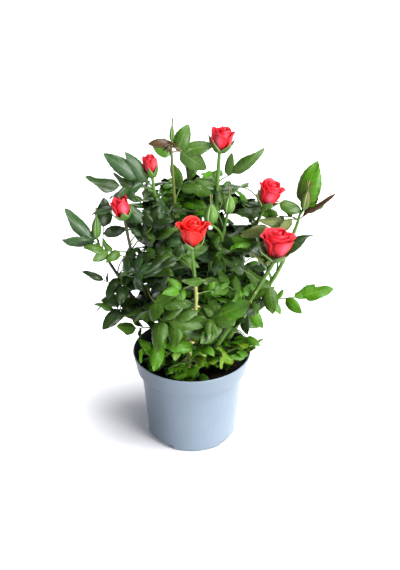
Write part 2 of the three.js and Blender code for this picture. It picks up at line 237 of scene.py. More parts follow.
for i in range(HOLES):
    centre = Vector((HOLE_CIRCLE_RADIUS, 0, 0))
    centre.rotate(Matrix.Rotation(ARCH_CENTRES[0] + math.tau * i / HOLES, 3, "Z"))
    bmesh.ops.create_cone(drill, cap_ends=True, segments=20, radius1=HOLE_RADIUS, radius2=HOLE_RADIUS,
                          depth=4 * FLOOR_TOP, matrix=Matrix.Translation(centre))
drill_mesh = bpy.data.meshes.new("drill")
drill.to_mesh(drill_mesh)
drill.free()
drill_piece = bpy.data.objects.new("drill", drill_mesh)
cut = pot.modifiers.new("drain_holes", "BOOLEAN")
cut.object = drill_piece
cut.solver = "EXACT"
drilled = bpy.data.meshes.new_from_object(pot.evaluated_get(bpy.context.evaluated_depsgraph_get()))
pot.modifiers.remove(cut)
pot.data = drilled
bpy.data.objects.remove(drill_piece)
pot.data.set_sharp_from_angle(angle=math.radians(50))
pot.data.materials.append(inner_dark)
for side in pot.data.polygons:  # the sides that face the pot's middle take the near-black inner material
    if side.center.z > FLOOR_TOP and side.normal.xy.dot(side.center.xy) < -0.5 * side.center.xy.length:
        side.material_index = 1
keep(pot, "pot_plastic", "pot")


# ---- Soil -----------------------------------------------------------------------------------
# Moist peat that fills the pot to a finger's width under the rim. It is a crumbly surface with
# loose crumbs and brown fibres on it, and a plain plug where the pot hides it.

soil_low, soil_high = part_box("soil")
SOIL_LEVEL = soil_high.z
SOIL_RADIUS = soil_high.x
rng = random.Random(11)

# moist peat: nearly black and dull, in brown clods of two millimetres
peat = new_material("moist_peat", Roughness=0.95, IOR=1.4)
coloured(peat, "#0d0a08", (clouds(peat, 2.2, detail=5.0), "#2c211b"), relief=(clouds(peat, 0.9), 0.5, 0.8))
# dry root and stalk fibres: a lighter brown that stands out on the peat
fibre_brown = new_material("peat_fibre", Base_Color=colour("#5a3a2a"), Roughness=0.9)


def soil_height(x, y):
    """Low heaps and dips, settled a little towards the wall."""
    heap = 0.9 * math.sin(x / (7 * MM) + 1.3) * math.cos(y / (6 * MM))
    heap += 0.5 * math.sin((x + 1.7 * y) / (3.1 * MM))
    reach = math.hypot(x, y) / SOIL_RADIUS
    return SOIL_LEVEL + (heap - 2.2 * reach**4) * MM


points, faces = [], []
turns, rings = 72, 26  # columns round the bed and rings out to its wall
for ring in range(rings + 1):
    radius = SOIL_RADIUS * (ring / rings)
    for i in range(turns):
        angle = math.tau * i / turns
        x, y = radius * math.cos(angle), radius * math.sin(angle)
        grain = rng.uniform(-0.35, 0.35) * MM if ring else 0
        points.append((x, y, soil_height(x, y) + grain))
# below the surface the peat follows the inside of the wall down to the pot's floor
for radius, height in ((BODY_TOP_RADIUS - POT_WALL - 0.4 * MM, BAND_FOOT + 0.5 * MM),
                       (BODY_FOOT_RADIUS - POT_WALL - 0.6 * MM, soil_low.z)):
    for i in range(turns):
        angle = math.tau * i / turns
        points.append((radius * math.cos(angle), radius * math.sin(angle), height))
for ring in range(rings + 2):
    for i in range(turns):
        a, b = ring * turns + i, ring * turns + (i + 1) % turns
        faces.append((a, a + turns, b + turns, b))
faces.append(tuple((rings + 2) * turns + i for i in reversed(range(turns))))
soil = mesh_piece("soil_bed", points, faces, peat)
merge = bmesh.new()
merge.from_mesh(soil.data)
bmesh.ops.remove_doubles(merge, verts=merge.verts, dist=1e-6)
merge.to_mesh(soil.data)
merge.free()
keep(soil, "peat", "soil")


def new_tree(name, *inputs):
    """A Geometry Nodes tree with a geometry in and out, and the named inputs."""
    tree = bpy.data.node_groups.new(name, "GeometryNodeTree")
    tree.interface.new_socket("Geometry", in_out="INPUT", socket_type="NodeSocketGeometry")
    tree.interface.new_socket("Geometry", in_out="OUTPUT", socket_type="NodeSocketGeometry")
    for label, kind in inputs:
        tree.interface.new_socket(label, in_out="INPUT", socket_type=kind)
    return tree, tree.nodes.new("NodeGroupInput").outputs


def run_tree(piece, tree, **values):
    """Runs the tree on the piece with these inputs, and leaves the result as its plain mesh."""
    modifier = piece.modifiers.new(tree.name, "NODES")
    modifier.node_group = tree
    sockets = {s.name: s.identifier for s in tree.interface.items_tree if s.in_out == "INPUT"}
    for label, value in values.items():
        modifier[sockets[label.replace("_", " ")]] = value
    evaluated = piece.evaluated_get(bpy.context.evaluated_depsgraph_get())
    result = bpy.data.meshes.new_from_object(evaluated)
    piece.modifiers.remove(modifier)
    piece.data = result
    return piece


def scatter_tree(name, materials=1):
    """Sets one of several shapes on each point, turned and sized by the point's own values.
    Faces marked as the under side take the second material."""
    sockets = [("Shapes", "NodeSocketCollection"), ("Size", "NodeSocketFloat")]
    sockets += [(label, "NodeSocketMaterial") for label in ("Upper Material", "Under Material")[:materials]]
    tree, given = new_tree(name, *sockets)
    own = {}
    kinds = {"turn": "FLOAT_VECTOR", "size": "FLOAT_VECTOR", "shape": "INT", "under": "BOOLEAN"}
    for label, kind in kinds.items():
        value = add_node(tree, "GeometryNodeInputNamedAttribute", {"data_type": kind}, Name=label)
        own[label] = value.outputs["Attribute"]
    shapes = add_node(tree, "GeometryNodeCollectionInfo", Collection=given["Shapes"],
                      Separate_Children=True, Reset_Children=True)
    turn = add_node(tree, "FunctionNodeEulerToRotation", Euler=own["turn"])
    grown = add_node(tree, "ShaderNodeVectorMath", {"operation": "SCALE"},
                     i0=own["size"], Scale=given["Size"])
    placed = add_node(tree, "GeometryNodeInstanceOnPoints", Points=given["Geometry"],
                      Instance=shapes.outputs[0], Pick_Instance=True, Instance_Index=own["shape"],
                      Rotation=turn.outputs[0], Scale=grown.outputs[0])
    made = add_node(tree, "GeometryNodeRealizeInstances", Geometry=placed.outputs[0])
    made = add_node(tree, "GeometryNodeSetMaterial", Geometry=made.outputs[0],
                    Material=given["Upper Material"])
    if materials == 2:
        made = add_node(tree, "GeometryNodeSetMaterial", Geometry=made.outputs[0],
                        Selection=own["under"], Material=given["Under Material"])
    tree.links.new(made.outputs[0], tree.nodes.new("NodeGroupOutput").inputs["Geometry"])
    return tree


def shapes_collection(name, meshes):
    """The shapes that a scatter picks from, kept out of the scene. Their order is by name."""
    collection = bpy.data.collections.new(name)
    for i, mesh in enumerate(meshes):
        collection.objects.link(bpy.data.objects.new(f"{name}_{i:02d}", mesh))
    return collection


def scattered(name, spots, tree, collection, **materials):
    """A piece made of the collection's shapes at the spots: (place, turn, size, shape number)."""
    mesh = new_mesh(name, [s[0] for s in spots], [])
    for label, kind, column in (("turn", "FLOAT_VECTOR", 1), ("size", "FLOAT_VECTOR", 2)):
        values = np.array([tuple(s[column]) for s in spots], np.float32).ravel()
        mesh.attributes.new(label, kind, "POINT").data.foreach_set("vector", values)
    mesh.attributes.new("shape", "INT", "POINT").data.foreach_set("value", [s[3] for s in spots])
    return run_tree(in_scene(name, mesh), tree, Shapes=collection, Size=MM, **materials)


def crumb_mesh(seed):
    """A lump of peat with twenty faces."""
    lump = bmesh.new()
    bmesh.ops.create_icosphere(lump, subdivisions=1, radius=1)
    wobble = random.Random(seed)
    for v in lump.verts:
        v.co *= wobble.uniform(0.7, 1.25)
        v.co.z *= 0.7
    mesh = bpy.data.meshes.new("crumb")
    lump.to_mesh(mesh)
    lump.free()
    return mesh


def ring_faces(sides, rings, first=0):
    """The quads between closed rings of points, each ring above the one before it."""
    around = [(i, (i + 1) % sides) for i in range(sides)]
    starts = [first + sides * ring for ring in range(rings)]
    return [(a + i, a + j, a + sides + j, a + sides + i) for a in starts for i, j in around]


def fibre_mesh(bend):
    """A bent three-sided fibre, one unit long."""
    points = []
    for i in range(5):
        t = i / 4
        for k in range(3):
            a = math.tau * k / 3
            points.append((t - 0.5, bend * math.sin(math.pi * t) + 0.05 * math.cos(a), 0.05 * math.sin(a)))
    return new_mesh("fibre", points, ring_faces(3, 4) + [(2, 1, 0), (12, 13, 14)])


def on_soil(margin):
    """A random place on the bed, at least the margin from its wall."""
    radius = (SOIL_RADIUS - margin) * math.sqrt(rng.random())
    angle = rng.uniform(0, math.tau)
    x, y = radius * math.cos(angle), radius * math.sin(angle)
    return Vector((x, y, soil_height(x, y)))


CRUMBS = 2600
FIBRES = 170
crumb_tree = scatter_tree("peat_crumbs")
crumb_shapes = shapes_collection("crumb_shapes", [crumb_mesh(i) for i in range(3)])
spots = []
for _ in range(CRUMBS):
    size = 0.35 + 1.1 * rng.random() ** 3
    spots.append((on_soil(1.2 * MM), [rng.uniform(0, 6) for _ in range(3)], [size] * 3, rng.randrange(3)))
keep(scattered("peat_crumbs", spots, crumb_tree, crumb_shapes, Upper_Material=peat), "peat")
fibre_shapes = shapes_collection("fibre_shapes", [fibre_mesh(0.15), fibre_mesh(-0.3)])
spots = []
for _ in range(FIBRES):
    length = rng.uniform(2.5, 7)
    place = on_soil(4 * MM) + Vector((0, 0, 0.3 * MM))
    turn = (rng.uniform(-0.2, 0.2), rng.uniform(-0.25, 0.25), rng.uniform(0, 6))
    spots.append((place, turn, [length] * 3, rng.randrange(2)))
keep(scattered("peat_fibres", spots, crumb_tree, fibre_shapes, Upper_Material=fibre_brown), "peat")


# ---- Canes ----------------------------------------------------------------------------------
# Each cane is one green-barked stem from the soil to its bloom, bud or tip, thickest at its foot,
# with a low swelling at each leaf joint. The older ones are brown, darkened to near-black as painted
# shade, the young one in front yellow.

CANES = {
    "cane_far_left": "brown", "cane_left": "brown", "cane_upper_left": "green", "cane_bud_top": "olive",
    "cane_top": "green", "cane_front": "yellow", "cane_centre": "green", "cane_upper_right": "green",
    "cane_right": "green", "cane_far_right": "green", "cane_back_left": "brown", "cane_back": "green",
    "cane_back_right": "olive",
}
# the brown bark is real older bark, and its near-black depth is painted shade for canes that stand in shadow
BARKS = {"green": ("#41661e", "#618731"), "brown": ("#221e14", "#3e3d1f"),
         "olive": ("#3f4a1a", "#65712b"), "yellow": ("#83873f", "#bcbd7b")}
CANE_SIDES = 12
CANE_STEP = 2 * MM
JOINT_SWELL = 0.16
JOINT_LENGTH = 1.6 * MM
BARK_RELIEF = 0.3 * MM
ROOTED = 3 * MM

# young rose bark: smooth with a slight gloss, streaked along the cane, and coloured by its age; the brown is
# partly painted shade
bark = {}
for name, (dark, light) in BARKS.items():
    skin = bark[name] = new_material(f"{name}_rose_bark", Roughness=0.42, IOR=1.45)
    streak = clouds(skin, 1.5, stretch=(1, 1, 8), detail=3.0)
    layers = [(streak, light)]
    if name == "yellow":  # it turns green towards its bloom
        place = add_node(skin.node_tree, "ShaderNodeTexCoord").outputs["Object"]
        height = add_node(skin.node_tree, "ShaderNodeSeparateXYZ", Vector=place).outputs["Z"]
        ripe = add_node(skin.node_tree, "ShaderNodeMapRange", Value=height,
                        From_Min=180 * MM, From_Max=190 * MM)
        layers.append((ripe.outputs[0], "#4d7426"))
    coloured(skin, dark, *layers, relief=(streak, 0.25, 0.6))


def rings_of(node):
    """The centres and radii of a limb's level rings, lowest first."""
    corners = {tuple(round(c, 6) for c in v.co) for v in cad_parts[node].data.vertices}
    corners = sorted(corners, key=lambda c: c[2])
    rings = [[corners[0]]]
    for corner in corners[1:]:
        if corner[2] - rings[-1][-1][2] > 0.5 * MM:
            rings.append([])
        rings[-1].append(corner)
    found = []
    for ring in rings:
        centre = sum((Vector(c) for c in ring), Vector()) / len(ring)
        found.append((centre, min((Vector(c) - centre).length for c in ring)))
    return found


def smooth_path(knots, step):
    """Points every step along a smooth line through the knots: (place, radius)."""
    line = []
    for i in range(len(knots) - 1):
        a, b, c, d = (knots[min(max(k, 0), len(knots) - 1)] for k in (i - 1, i, i + 1, i + 2))
        pieces = max(1, round((c[0] - b[0]).length / step))
        for k in range(pieces):
            t = k / pieces
            place = 0.5 * (2 * b[0] + (c[0] - a[0]) * t + (2 * a[0] - 5 * b[0] + 4 * c[0] - d[0]) * t * t
                           + (3 * b[0] - a[0] - 3 * c[0] + d[0]) * t**3)
            line.append((place, b[1] + (c[1] - b[1]) * t))
    return line + [knots[-1]]


def limb_tree():
    """A skin with bark relief round lines whose points carry their own radius."""
    tree, given = new_tree("limb_skin", ("Sides", "NodeSocketInt"), ("Relief", "NodeSocketFloat"),
                           ("Bark", "NodeSocketMaterial"))
    own = add_node(tree, "GeometryNodeInputNamedAttribute", {"data_type": "FLOAT"}, Name="thick")
    thick = own.outputs["Attribute"]
    line = add_node(tree, "GeometryNodeMeshToCurve", Mesh=given["Geometry"]).outputs[0]
    line = add_node(tree, "GeometryNodeSetCurveRadius", Curve=line, Radius=thick).outputs[0]
    ring = add_node(tree, "GeometryNodeCurvePrimitiveCircle", Resolution=given["Sides"], Radius=1.0)
    skin = add_node(tree, "GeometryNodeCurveToMesh", Curve=line, Profile_Curve=ring.outputs[0],
                    Fill_Caps=True)
    for socket in skin.inputs:
        if socket.name == "Scale":
            tree.links.new(thick, socket)
    grain = add_node(tree, "ShaderNodeTexNoise", Scale=1 / (2.5 * MM), Detail=1.0).outputs[0]
    centred = add_node(tree, "ShaderNodeMath", {"operation": "SUBTRACT"}, i0=grain, i1=0.5).outputs[0]
    height = add_node(tree, "ShaderNodeMath", {"operation": "MULTIPLY"}, i0=centred, i1=given["Relief"])
    normal = add_node(tree, "GeometryNodeInputNormal").outputs[0]
    push = add_node(tree, "ShaderNodeVectorMath", {"operation": "SCALE"}, i0=normal, Scale=height.outputs[0])
    skin = add_node(tree, "GeometryNodeSetPosition", Geometry=skin.outputs[0], Offset=push.outputs[0])
    skin = add_node(tree, "GeometryNodeSetShadeSmooth", Geometry=skin.outputs[0])
    skin = add_node(tree, "GeometryNodeRealizeInstances", Geometry=skin.outputs[0])
    skin = add_node(tree, "GeometryNodeSetMaterial", Geometry=skin.outputs[0], Material=given["Bark"])
    tree.links.new(skin.outputs[0], tree.nodes.new("NodeGroupOutput").inputs["Geometry"])
    return tree


def limbs(name, lines, tree, material, sides, relief):
    """A piece made of a skin round each line of (place, radius) points."""
    points, edges, thick = [], [], []
    for line in lines:
        edges += [(len(points) + i, len(points) + i + 1) for i in range(len(line) - 1)]
        points += [p for p, _ in line]
        thick += [r for _, r in line]
    mesh = new_mesh(name, points, [], edges)
    mesh.attributes.new("thick", "FLOAT", "POINT").data.foreach_set("value", thick)
    return run_tree(in_scene(name, mesh), tree, Sides=sides, Relief=relief, Bark=material)


limb_skin = limb_tree()
cane_lines = {}
for name, bark_name in CANES.items():
    line = smooth_path(rings_of(name), CANE_STEP)
    joints = random.Random(name)
    joint_gap, first = joints.uniform(13, 17) * MM, joints.uniform(6, 12) * MM
    slim = 0.85 if bark_name == "yellow" else 1
    swollen = []
    for place, radius in line:
        off = (place.z - line[0][0].z - first) % joint_gap
        near = min(off, joint_gap - off) / JOINT_LENGTH
        swollen.append((place, slim * radius * (1 + JOINT_SWELL * math.exp(-near * near))))
    foot, radius = swollen[0]
    swollen[0] = (foot - Vector((0, 0, ROOTED)), radius * 1.15)
    cane_lines[name] = line
    piece = limbs(f"{name}_bark", [swollen], limb_skin, bark[bark_name], CANE_SIDES, BARK_RELIEF)
    keep(piece, "cane_bark", name)


# ---- Thorns ---------------------------------------------------------------------------------
# Flat-based thorns grow out of the bark, hooked a little down. They are few on the green canes,
# and on the young yellow one they stand close, longer and mostly to its left and right.

def thorn_mesh(hook):
    """One unit tall along Z, its long foot and its hook along X."""
    points = []
    for share, wide in ((-0.25, 1.1), (0.0, 1.0), (0.35, 0.5), (0.7, 0.22)):
        for k in range(6):
            a = math.tau * k / 6
            x = 0.42 * wide * math.cos(a) - hook * max(0.0, share) ** 2
            points.append((x, 0.2 * wide * math.sin(a), share))
    points.append((-hook, 0, 1))
    faces = ring_faces(6, 3) + [(18 + k, 18 + (k + 1) % 6, 24) for k in range(6)]
    return new_mesh("thorn", points, faces + [tuple(reversed(range(6)))])


# rose thorn: woody, dull and pale tan
thorn_tan = new_material("rose_thorn", Roughness=0.5, IOR=1.45)
coloured(thorn_tan, "#b39a5c", (clouds(thorn_tan, 1.5), "#d8cc9c"))
thorn_shapes = shapes_collection("thorn_shapes", [thorn_mesh(0.3), thorn_mesh(0.55)])
spots = []
for name, line in cane_lines.items():
    pick = random.Random(f"thorns of {name}")
    young = CANES[name] == "yellow"
    gap = 2 if young else 8
    step = pick.randrange(6, 12)
    while step < len(line) * 0.8:
        place, radius = line[step]
        along = (line[step + 1][0] - line[step - 1][0]).normalized()
        turn = pick.uniform(0, math.tau) if not young else pick.gauss(0, 0.6) + math.pi * pick.randrange(2)
        right = Vector((1, 0, 0))
        out = Matrix.Rotation(turn, 3, along) @ (right - right.project(along)).normalized()
        turn = Matrix((along, out.cross(along), out)).transposed().to_euler()
        tall = pick.uniform(2.8, 4.4) if young else pick.uniform(1.6, 2.9)
        spots.append((place + out * radius * 0.9, turn, [tall] * 3, pick.randrange(2)))
        step += pick.randrange(gap // 2, gap + 3)
keep(scattered("thorns", spots, crumb_tree, thorn_shapes, Upper_Material=thorn_tan), "cane_bark")


# ---- Leaf shapes ----------------------------------------------------------------------------
# A rose leaflet is a toothed oval blade, folded a little along its pale midrib and raised between
# its side veins, glossy above and dull and paler below. These six differ in fold, arch and wave.

LEAF_ROWS = 7
LEAF_HALF_WIDTH = 0.25
TOOTH = 0.013
BLADE_THICKNESS = 0.012


def leaflet_mesh(number, fold, arch, wave, twist):
    """A leaflet one unit long from its foot to its tip along X, its upper side towards Z.
    It is a closed thin blade whose two sides share its toothed edge."""
    shape = random.Random(number)
    phase = shape.uniform(0, 6)

    def reach_across(t):
        """Half the blade's width at the share t, widest a little below its middle."""
        return LEAF_HALF_WIDTH * 2.5 * t**0.55 * (1 - t) ** 0.8

    def surface(t, across, side):
        """A point at the share t along the midrib and the share across of the half width."""
        t_edge = t + 0.14 * math.sin(math.pi * t) * across
        y = reach_across(min(t_edge, 0.999)) * across
        lift = fold * y - 1.6 * fold * y * y / LEAF_HALF_WIDTH * across
        lift += arch * (0.25 - (t_edge - 0.5) ** 2)
        lift += wave * y * math.sin(9 * t + phase + 1.5 * side)
        lift += twist * side * y * t
        return Vector((t_edge, side * y, lift))

    points, faces, under, places = [], [], [], []

    def corner(t, across, side, drop=0.0, push=0.0):
        """Adds a point of the blade, dropped or pushed sideways, and gives its number."""
        p = surface(t, across, side)
        p.y += side * push
        points.append(p - Vector((0, 0, drop)))
        places.append((0.5 + 0.5 * side * across, t))
        return len(points) - 1

    rows = [k / LEAF_ROWS for k in range(LEAF_ROWS + 1)]
    top_mid = [corner(t, 0, 1) for t in rows]
    low_mid = [top_mid[0]] + [corner(t, 0, 1, BLADE_THICKNESS) for t in rows[1:-1]] + [top_mid[-1]]
    for side in (1, -1):
        edge = [top_mid[0]] + [corner(t, 1, side) for t in rows[1:-1]] + [top_mid[-1]]
        notch = [corner((a + b) / 2 + 0.02, 1, side, push=-TOOTH * math.sin(math.pi * (a + b) / 2))
                 for a, b in zip(rows, rows[1:])]
        for mid, drop, is_under in ((top_mid, 0.0, False), (low_mid, BLADE_THICKNESS, True)):
            inner = [mid[0]] + [corner(t, 0.52, side, drop + (0.006 if k % 2 else -0.006))
                                for k, t in enumerate(rows[1:-1])] + [mid[-1]]
            for k in range(LEAF_ROWS):
                near = [mid[k], inner[k], inner[k + 1], mid[k + 1]]
                far = [inner[k], edge[k], notch[k], inner[k + 1]]
                tooth = [inner[k + 1], notch[k], edge[k + 1]]
                for loop in (near, far, tooth):
                    loop = [c for i, c in enumerate(loop) if c != loop[i - 1]]
                    if len(loop) < 3:
                        continue
                    if (side > 0) != is_under:  # the same first corner, so both sides fold alike
                        loop = [loop[0]] + loop[:0:-1]
                    faces.append(loop)
                    under.append(is_under)
    mesh = new_mesh(f"leaflet_{number}", points, faces)
    mesh.attributes.new("under", "BOOLEAN", "FACE").data.foreach_set("value", under)
    blade = mesh.uv_layers.new(name="blade")
    blade.data.foreach_set("uv", [c for loop in mesh.loops for c in places[loop.vertex_index]])
    mesh.polygons.foreach_set("use_smooth", [True] * len(faces))
    sides = {}
    for polygon, is_under in zip(mesh.polygons, under):
        for key in polygon.edge_keys:
            sides.setdefault(key, set()).add(is_under)
    sharp = [len(sides[tuple(sorted(e.vertices))]) == 2 for e in mesh.edges]
    mesh.attributes.new("sharp_edge", "BOOLEAN", "EDGE").data.foreach_set("value", sharp)
    return mesh


LEAF_SHAPES = shapes_collection("leaflet_shapes", [
    leaflet_mesh(0, 0.50, 0.30, 0.10, 0.0),
    leaflet_mesh(1, 0.70, 0.55, 0.15, 0.15),
    leaflet_mesh(2, 0.35, 0.15, 0.25, -0.1),
    leaflet_mesh(3, 0.95, 0.75, 0.10, -0.2),
    leaflet_mesh(4, 0.60, -0.20, 0.20, 0.2),
    leaflet_mesh(5, 1.40, 0.40, 0.05, 0.0),
])
YOUNG_SHAPE = 5
OPEN_SHAPES = 5


def leaf_material(name, dark, light, vein, roughness, specular=0.3):
    """Leaf surface: a green that drifts across the bush, with paler midrib and side veins."""
    leaf = new_material(name, Roughness=roughness, IOR=1.45, Specular_IOR_Level=specular)
    tree = leaf.node_tree
    place = add_node(tree, "ShaderNodeUVMap", {"uv_map": "blade"}).outputs[0]
    blade = add_node(tree, "ShaderNodeSeparateXYZ", Vector=place)
    off_mid = add_node(tree, "ShaderNodeMath", {"operation": "PINGPONG"}, i0=blade.outputs["X"], i1=0.5)
    mid = add_node(tree, "ShaderNodeMapRange", Value=off_mid.outputs[0],
                   From_Min=0.455, From_Max=0.49, To_Min=0.0, To_Max=0.5)
    along = add_node(tree, "ShaderNodeMath", {"operation": "MULTIPLY"},
                     i0=blade.outputs["Y"], i1=float(LEAF_ROWS))
    off_vein = add_node(tree, "ShaderNodeMath", {"operation": "PINGPONG"}, i0=along.outputs[0], i1=0.5)
    side = add_node(tree, "ShaderNodeMapRange", Value=off_vein.outputs[0],
                    From_Min=0.0, From_Max=0.12, To_Min=0.22, To_Max=0.0)
    veins = add_node(tree, "ShaderNodeMath", {"operation": "MAXIMUM"}, i0=mid.outputs[0], i1=side.outputs[0])
    grain = clouds(leaf, 0.8)
    ridge = add_node(tree, "ShaderNodeMath", {"operation": "SUBTRACT"}, i0=grain, i1=veins.outputs[0])
    coloured(leaf, dark, (clouds(leaf, 9, detail=3.0), light), (veins.outputs[0], vein),
             relief=(ridge.outputs[0], 0.15, 0.5))
    return leaf


# rose leaves: waxy, so the upper side has a soft gloss, and the older they are the darker and
# glossier. Each tint: the upper side's two greens, its veins, its roughness and specular level
LEAF_TINTS = {
    "dark": ("#1a2d10", "#283e16", "#475b30", 0.33, 0.3),
    "blue": ("#223b1c", "#314f26", "#5b744a", 0.36, 0.32),
    "mid": ("#2d4c12", "#41621b", "#68813f", 0.36, 0.3),
    "bright": ("#336108", "#497c0f", "#75983a", 0.40, 0.3),
    "young": ("#4d7512", "#6f9121", "#94a54c", 0.42, 0.3),
    "olive": ("#44521f", "#5d682f", "#7f8450", 0.45, 0.3),
    "bronze": ("#33220f", "#4c3a1c", "#6b3c24", 0.40, 0.4),
}
leaf_looks = {name: leaf_material(f"{name}_rose_leaf", *finish) for name, finish in LEAF_TINTS.items()}
# the under side has no wax and is dull and paler
leaf_under = {
    "old": leaf_material("leaf_under_side", "#34491f", "#465b2e", "#62724a", 0.6),
    "young": leaf_material("young_leaf_under_side", "#637d36", "#7a904a", "#92a06a", 0.6),
}


# ---- Thin sprays ----------------------------------------------------------------------------
# At the edge of the crown each spray is one compound leaf: a stalk from the cane with an end
# leaflet and pairs beside it. Leaflets and stalks are gathered here and made into pieces below.

leaf_spots = {name: [] for name in LEAF_TINTS}
stalk_lines = {"green": [], "red": []}


def turned_to(direction, normal):
    """The turn that lays a leaflet along the direction, its upper side towards the normal."""
    x = direction.normalized()
    y = normal.cross(x).normalized()
    return Matrix((x, y, x.cross(y))).transposed().to_euler()


def has_room(place):
    """True near the model's box, and over the pot's rim or inside the pot clear of its wall."""
    if any(not low - 9 * MM < p < high + 9 * MM for low, p, high in zip(cad_box[0], place, cad_box[1])):
        return False
    return place.z > RIM_HEIGHT + 1.5 * MM or place.xy.length < SOIL_RADIUS - 1.5 * MM


def add_leaflet(tint, foot, direction, normal, length, chance, width=1.0, roll=0.0):
    """One leaflet, in metres; chance gives it its own shape and a slight turn."""
    x = direction.normalized()
    z = Matrix.Rotation(roll + chance.gauss(0, 0.22), 3, x) @ normal
    x = (x + chance.gauss(0, 0.07) * z).normalized()
    broad = normal.cross(x).normalized() * 0.3 * length * width
    tip, middle = foot + x * length, foot + x * 0.5 * length
    if not all(has_room(p) for p in (tip, middle + broad, middle - broad)):
        return
    size = length / MM
    shape = YOUNG_SHAPE if tint == "young" and chance.random() < 0.4 else chance.randrange(OPEN_SHAPES)
    across = size * width * chance.uniform(0.88, 1.12)
    leaf_spots[tint].append((foot, turned_to(x, z), (size, across, size), shape))


def nearest_on(line, place):
    """The (place, radius) of a line that is nearest to a place."""
    return min(line, key=lambda at: (at[0] - place).length)


def bent(start, heading, end, steps, arriving=None):
    """Points on a stalk that leaves its start along one heading and reaches its end along another."""
    pull = 0.38 * (end - start).length
    first = start + heading.normalized() * pull
    last = end - (arriving or end - first).normalized() * pull
    return [(1 - t) ** 3 * start + 3 * t * (1 - t) ** 2 * first + 3 * t * t * (1 - t) * last + t**3 * end
            for t in (i / steps for i in range(steps + 1))]


def grow_leaf(base, heading, tip, lay, normal, tint, chance, length, sides, width=1.0, roll=0.0,
              stalk="green"):
    """A compound leaf from its base on a stem to the tip of its end leaflet, which lies along lay.
    Each side leaflet has its place on the stalk, its angle and its length as a share of the end one."""
    lay = lay.normalized()
    normal = (normal - normal.project(lay)).normalized()
    foot = tip - lay * length
    path = bent(base, heading, foot, 8, lay)
    thin, thick = 0.46 * MM, 0.62 * MM + 0.005 * (foot - base).length
    stalk_lines[stalk].append([(p, thick + (thin - thick) * i / 8) for i, p in enumerate(path)])
    droop = normal * -0.12
    add_leaflet(tint, foot, lay + droop, normal, length, chance, width, roll)
    for share, angle, size in sides:
        step = min(7, max(1, round(8 * share)))
        along = (path[step + 1] - path[step - 1]).normalized()
        facing = (normal - normal.project(along)).normalized()
        out = Matrix.Rotation(math.radians(angle), 3, facing) @ along
        tilt = Matrix.Rotation(math.copysign(0.2, -angle), 3, along) @ facing
        add_leaflet(tint, path[step], out, tilt, length * size, chance, width, roll)


def paired(pairs, side, spread, chance):
    """The side leaflets of a regular leaf: pairs along its stalk, the lower pair smaller."""
    sides = []
    for pair in range(pairs):
        share = 0.85 if pairs == 1 else 0.55 + 0.35 * pair / (pairs - 1)
        for hand in (1, -1):
            length = side * (0.8 + 0.2 * (pair + 1) / pairs) * chance.uniform(0.88, 1.1)
            place = share + chance.uniform(-0.04, 0.04)
            sides.append((place, hand * (spread + chance.uniform(-10, 10)), length))
    return sides


def pad_of(node):
    """A thin solid's middle, its long axis, its facing and half its length."""
    corners = np.array([v.co[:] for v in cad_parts[node].data.vertices])
    corners = np.unique(corners.round(6), axis=0)
    middle = (corners.min(0) + corners.max(0)) / 2
    axes = np.linalg.eigh(np.cov((corners - middle).T))[1]
    along, facing = (Vector(axes[:, i]) for i in (2, 0))
    if facing.dot(Vector((0.1, -0.5, 0.85))) < 0:
        facing.negate()
    middle = Vector(middle)
    return middle, along, facing, max(abs((Vector(c) - middle).dot(along)) for c in corners)


# Each thin spray: its cane, its tint, the end leaflet's share of the reach and its width, and the
# side leaflets, each with its place along the stalk, its angle and its size
SPRAYS = {
    "spray_left_tip": ("cane_far_left", "blue", 0.72, 0.75, [(0.6, 38, 0.8), (0.8, -60, 0.5)]),
    "spray_left_dark": ("cane_far_left", "dark", 0.55, 1.1, [(0.8, -75, 0.81)]),
    "spray_left_mid": ("cane_left", "mid", 0.42, 1.0,
                       [(0.9, 35, 0.93), (0.5, 40, 0.93), (0.7, -60, 0.78)]),
    "spray_left_low": ("cane_far_left", "dark", 0.45, 0.6,
                       [(0.9, -75, 0.4), (0.6, 60, 0.5), (0.4, -80, 0.5)]),
    "spray_left_lower": ("cane_far_left", "mid", 0.4, 0.8,
                         [(0.85, -70, 0.67), (0.6, 50, 0.78), (0.4, -40, 0.89)]),
    "spray_left_lowest": ("cane_far_left", "mid", 0.5, 0.9, [(0.6, -40, 0.8), (0.7, 60, 0.5)]),
    "spray_upper_left": ("cane_upper_left", "blue", 0.7, 0.72, [(0.55, -24, 0.9), (0.75, 70, 0.5)]),
    "spray_upper_left_side": ("cane_upper_left", "dark", 0.5, 0.9, [(0.6, -35, 0.69), (0.7, 40, 0.6)]),
    "spray_bud_left": ("cane_bud_top", "bronze", 0.95, 0.85, [(0.8, 60, 0.5)]),
    "spray_top_left": ("cane_bud_top", "bright", 0.95, 1.25, []),
    "spray_top_centre": ("cane_bud_top", "mid", 0.72, 1.1, [(0.5, 66, 0.95), (0.7, -34, 1.05)]),
    "spray_top_right": ("cane_top", "mid", 0.68, 0.72, [(0.8, 48, 0.62)]),
    "spray_right_big": ("cane_far_right", "bright", 0.74, 1.08, [(0.9, -62, 0.45)]),
    "spray_right_narrow": ("cane_far_right", "bronze", 0.75, 0.34, [(0.5, 24, 0.94)]),
    "spray_right_behind": ("cane_far_right", "mid", 0.46, 1.0, [(0.8, 45, 0.8), (0.4, -50, 0.7)]),
    "spray_right_long": ("cane_far_right", "olive", 0.5, 0.8,
                         [(0.5, -24, 0.9), (0.3, 30, 0.8), (0.7, 45, 0.7)]),
    "spray_right_outer": ("cane_right", "dark", 0.8, 0.7, [(0.6, 40, 0.5)]),
    "spray_right_low": ("cane_right", "bright", 0.34, 1.0,
                        [(0.88, 26, 0.8), (0.7, -50, 0.75), (0.5, -66, 0.7), (0.62, 60, 0.4),
                         (0.35, 40, 0.6)]),
    "spray_front_bright": ("cane_front", "bright", 0.66, 0.82, []),
}
# the new leaves' stalks are red, and one spray is turned about its length, in radians
RED_STALKED = ("spray_bud_left", "spray_top_centre", "spray_right_narrow", "spray_front_bright")
EDGE_ON = {"spray_right_narrow": 0.4}

